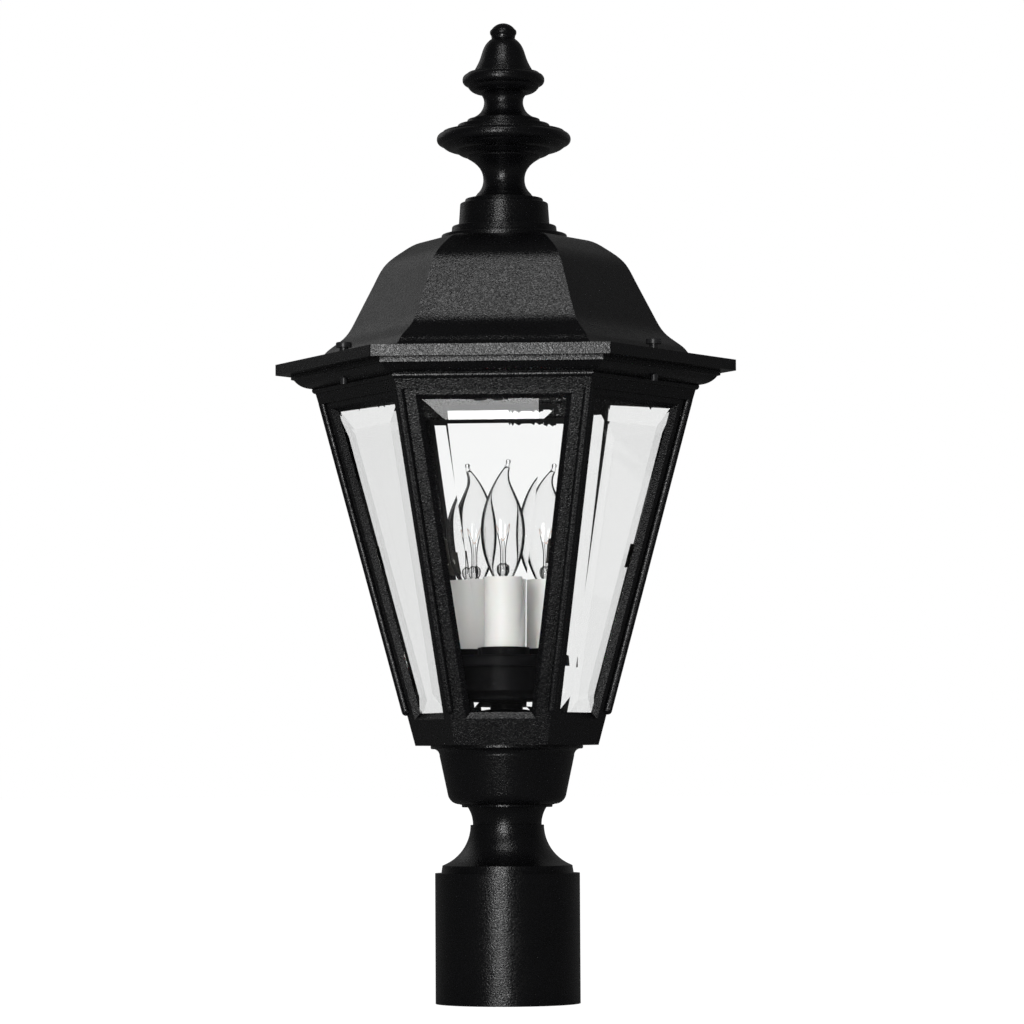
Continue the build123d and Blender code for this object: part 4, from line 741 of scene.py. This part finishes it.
    def filament(self, place, foot, number, material, body):
        """A fine coil that rises from one lead, dips on the supports and rises to the other."""
        origin = Vector((*place, foot))
        path = [(-3.2, 0, 35.2), (-3.9, 0, 39.5), (-2.4, 0.1, 37.0), (-0.7, 0.3, 31.8),
                (0.7, 0.3, 31.8), (2.4, 0.1, 37.0), (3.9, 0, 40.5), (3.2, 0, 35.2)]
        spine = smooth_line([Vector(p) * MM for p in path], steps=16)
        step_angle = 2.2
        coil_radius = 0.26 * MM
        wire_radius = 0.11 * MM
        back = Vector((0.0, 1.0, 0.0))
        coil = []
        for index, point in enumerate(spine):
            ahead = spine[min(index + 1, len(spine) - 1)] - spine[max(index - 1, 0)]
            side = ahead.cross(back).normalized()
            angle = index * step_angle
            coil.append(origin + point + coil_radius * (
                side * math.cos(angle) + back * math.sin(angle)))
        bm = bmesh.new()
        add_wire(bm, coil, wire_radius, sides=4)
        return finish_piece(bm, f"lamp_filament_{number}", material, body)


class LANTERN_OT_stage(bpy.types.Operator):
    """Set up the floor, the lights and the camera"""

    bl_idname = "lantern.stage"
    bl_label = "Set the stage"

    def execute(self, context):
        stage = context.scene.lantern_stage
        scene = context.scene
        scene.view_settings.view_transform = "Standard"
        self.add_floor(stage)
        self.add_world(stage, scene)
        self.add_light(
            "front_light", place=(-0.33, -2.17, 0.40), target=(0.0, 0.0, 0.40), size=(0.45, 1.1),
            power=stage.front_power)
        self.add_light(
            "top_light", place=(-0.10, -1.15, 1.85), target=(0.0, 0.0, 0.4), size=(0.7, 0.45),
            power=stage.top_power)
        self.add_light(
            "left_light", place=(-1.24, 1.34, 1.2), target=(0.0, 0.0, 0.4), size=(1.0, 1.0),
            power=stage.left_power)
        for side, name in ((-1, "low_left_light"), (1, "low_right_light")):
            light = self.add_light(
                name, place=(side * 0.45, -0.68, 0.03), target=(0.0, 0.0, 0.3), size=(0.3, 0.25),
                power=stage.low_power)
            light.visible_camera = False
            self.light_only(light, ("cage",))
        self.add_camera(stage, scene)
        return {"FINISHED"}

    def light_only(self, light, node_names):
        """Let a light reach only some CAD nodes."""
        receivers = bpy.data.collections.new(light.name + "_receivers")
        for node_name in node_names:
            receivers.objects.link(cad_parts[node_name])
        light.light_linking.receiver_collection = receivers

    def add_floor(self, stage):
        """Pale floor that looks white, keeps the shadow and stays dim in the lantern's gloss."""
        reach = 30.0
        bm = bmesh.new()
        bmesh.ops.create_grid(bm, x_segments=1, y_segments=1, size=reach)
        mesh = bpy.data.meshes.new("floor")
        bm.to_mesh(mesh)
        bm.free()
        floor = bpy.data.objects.new("floor", mesh)
        bpy.context.scene.collection.objects.link(floor)
        material, shader, output, _ = new_material("Studio floor")
        seen, glossy, through = self.light_paths(shader)
        lit = shader.node("ShaderNodeBsdfDiffuse", {"Color": rgba(stage.floor_color)})
        behind_glass = stage.floor_glow * stage.glass_gain
        glow = shader.node("ShaderNodeEmission", {
            "Color": WHITE, "Strength": shader.spread(through, 0.0, 1.0, stage.floor_glow, behind_glass)})
        dim = shader.node("ShaderNodeEmission", {"Color": WHITE, "Strength": stage.front_gloss})
        bright = shader.node("ShaderNodeMixShader")
        shader.feed(shader.math("MULTIPLY", seen, stage.floor_share), bright.inputs[0])
        shader.feed(lit.outputs[0], bright.inputs[1])
        shader.feed(glow.outputs[0], bright.inputs[2])
        both = shader.node("ShaderNodeMixShader")
        shader.feed(shader.math("MULTIPLY", glossy, stage.floor_dimming), both.inputs[0])
        shader.feed(bright.outputs[0], both.inputs[1])
        shader.feed(dim.outputs[0], both.inputs[2])
        shader.feed(both.outputs[0], output.inputs["Surface"])
        mesh.materials.append(material)

    def light_paths(self, shader):
        """Masks of the rays that see the background, that see it as gloss, and that see it through glass."""
        path = shader.node("ShaderNodeLightPath")
        bounced = shader.math("MINIMUM", 1.0, shader.math(
            "ADD", path.outputs["Glossy Depth"], path.outputs["Diffuse Depth"]))
        straight = shader.math("MULTIPLY", path.outputs["Is Transmission Ray"],
                               shader.math("SUBTRACT", 1.0, bounced))
        seen = shader.math("MAXIMUM", path.outputs["Is Camera Ray"], straight)
        soft = shader.math("MINIMUM", 1.0, path.outputs["Diffuse Depth"])
        glossy = shader.math("MULTIPLY", shader.math("SUBTRACT", 1.0, soft), shader.math(
            "SUBTRACT", 1.0, seen))
        return seen, glossy, straight

    def add_world(self, stage, scene):
        """White to look at; in gloss, dim in front of the lantern and bright behind it."""
        world = bpy.data.worlds.new("Studio")
        scene.world = world
        world.use_nodes = True
        world.node_tree.nodes.clear()
        shader = Shader(world.node_tree)
        seen, glossy, through = self.light_paths(shader)
        way = shader.node("ShaderNodeSeparateXYZ", {
            "Vector": shader.node("ShaderNodeTexCoord").outputs["Generated"]})
        dim_to = 0.1
        bright_from = 0.8
        gloss = shader.spread(way.outputs["Y"], dim_to, bright_from, stage.front_gloss, stage.back_gloss)
        other = shader.math("SUBTRACT", 1.0, shader.math("ADD", seen, glossy))
        white = shader.math("MULTIPLY", seen, shader.spread(through, 0.0, 1.0, 1.0, stage.glass_gain))
        strength = shader.math("ADD", white, shader.math("MULTIPLY", glossy, gloss))
        strength = shader.math("ADD", strength, shader.math("MULTIPLY", other, stage.fill))
        back = shader.node("ShaderNodeBackground", {"Color": WHITE, "Strength": strength})
        output = shader.node("ShaderNodeOutputWorld")
        shader.feed(back.outputs[0], output.inputs["Surface"])

    def add_light(self, name, place, target, size, power):
        """Rectangular light at a place, facing a target."""
        data = bpy.data.lights.new(name, "AREA")
        data.shape = "RECTANGLE"
        data.size, data.size_y = size
        data.energy = power
        light = bpy.data.objects.new(name, data)
        light.location = place
        light.rotation_euler = (Vector(target) - Vector(place)).to_track_quat("-Z", "Y").to_euler()
        bpy.context.scene.collection.objects.link(light)
        return light

    def add_camera(self, stage, scene):
        """Camera on a circle round the lantern, aimed and rolled as the settings say."""
        data = bpy.data.cameras.new("camera")
        data.sensor_width = 36.0
        data.lens = stage.camera_lens
        data.clip_end = 100.0
        camera = bpy.data.objects.new("camera", data)
        turn = stage.camera_turn
        eye = Vector((stage.camera_distance * math.sin(turn), -stage.camera_distance * math.cos(turn),
                      stage.camera_height))
        right = Vector((math.cos(turn), math.sin(turn), 0.0))
        target = Vector((0.0, 0.0, stage.camera_aim)) + right * stage.camera_offset
        facing = (target - eye).to_track_quat("-Z", "Y").to_matrix()
        roll = Matrix.Rotation(stage.camera_roll, 3, "Z")
        camera.matrix_world = Matrix.Translation(eye) @ (facing @ roll).to_4x4()
        scene.collection.objects.link(camera)
        scene.camera = camera


class LANTERN_PT_panel(bpy.types.Panel):
    """Lists the lantern's steps"""

    bl_label = "Post top lantern"
    bl_space_type = "VIEW_3D"
    bl_region_type = "UI"
    bl_category = "Lantern"

    def draw(self, context):
        for operator in OPERATORS:
            self.layout.operator(operator.bl_idname)


GROUPS = {
    "lantern_metal": LanternMetalSettings,
    "lantern_glass": LanternGlassSettings,
    "lantern_candle": LanternCandleSettings,
    "lantern_stage": LanternStageSettings,
}
OPERATORS = (
    LANTERN_OT_metal, LANTERN_OT_glass, LANTERN_OT_candles, LANTERN_OT_lamps, LANTERN_OT_stage,
)


def register():
    for group in GROUPS.values():
        bpy.utils.register_class(group)
    for operator in OPERATORS:
        bpy.utils.register_class(operator)
    bpy.utils.register_class(LANTERN_PT_panel)
    for name, group in GROUPS.items():
        setattr(bpy.types.Scene, name, PointerProperty(type=group))


def unregister():
    for name in GROUPS:
        delattr(bpy.types.Scene, name)
    bpy.utils.unregister_class(LANTERN_PT_panel)
    for operator in reversed(OPERATORS):
        bpy.utils.unregister_class(operator)
    for group in reversed(list(GROUPS.values())):
        bpy.utils.unregister_class(group)


def main():
    register()
    bpy.ops.lantern.metal()
    bpy.ops.lantern.glass()
    bpy.ops.lantern.candles()
    bpy.ops.lantern.lamps()
    bpy.ops.lantern.stage()


if __name__ == "__main__":
    main()
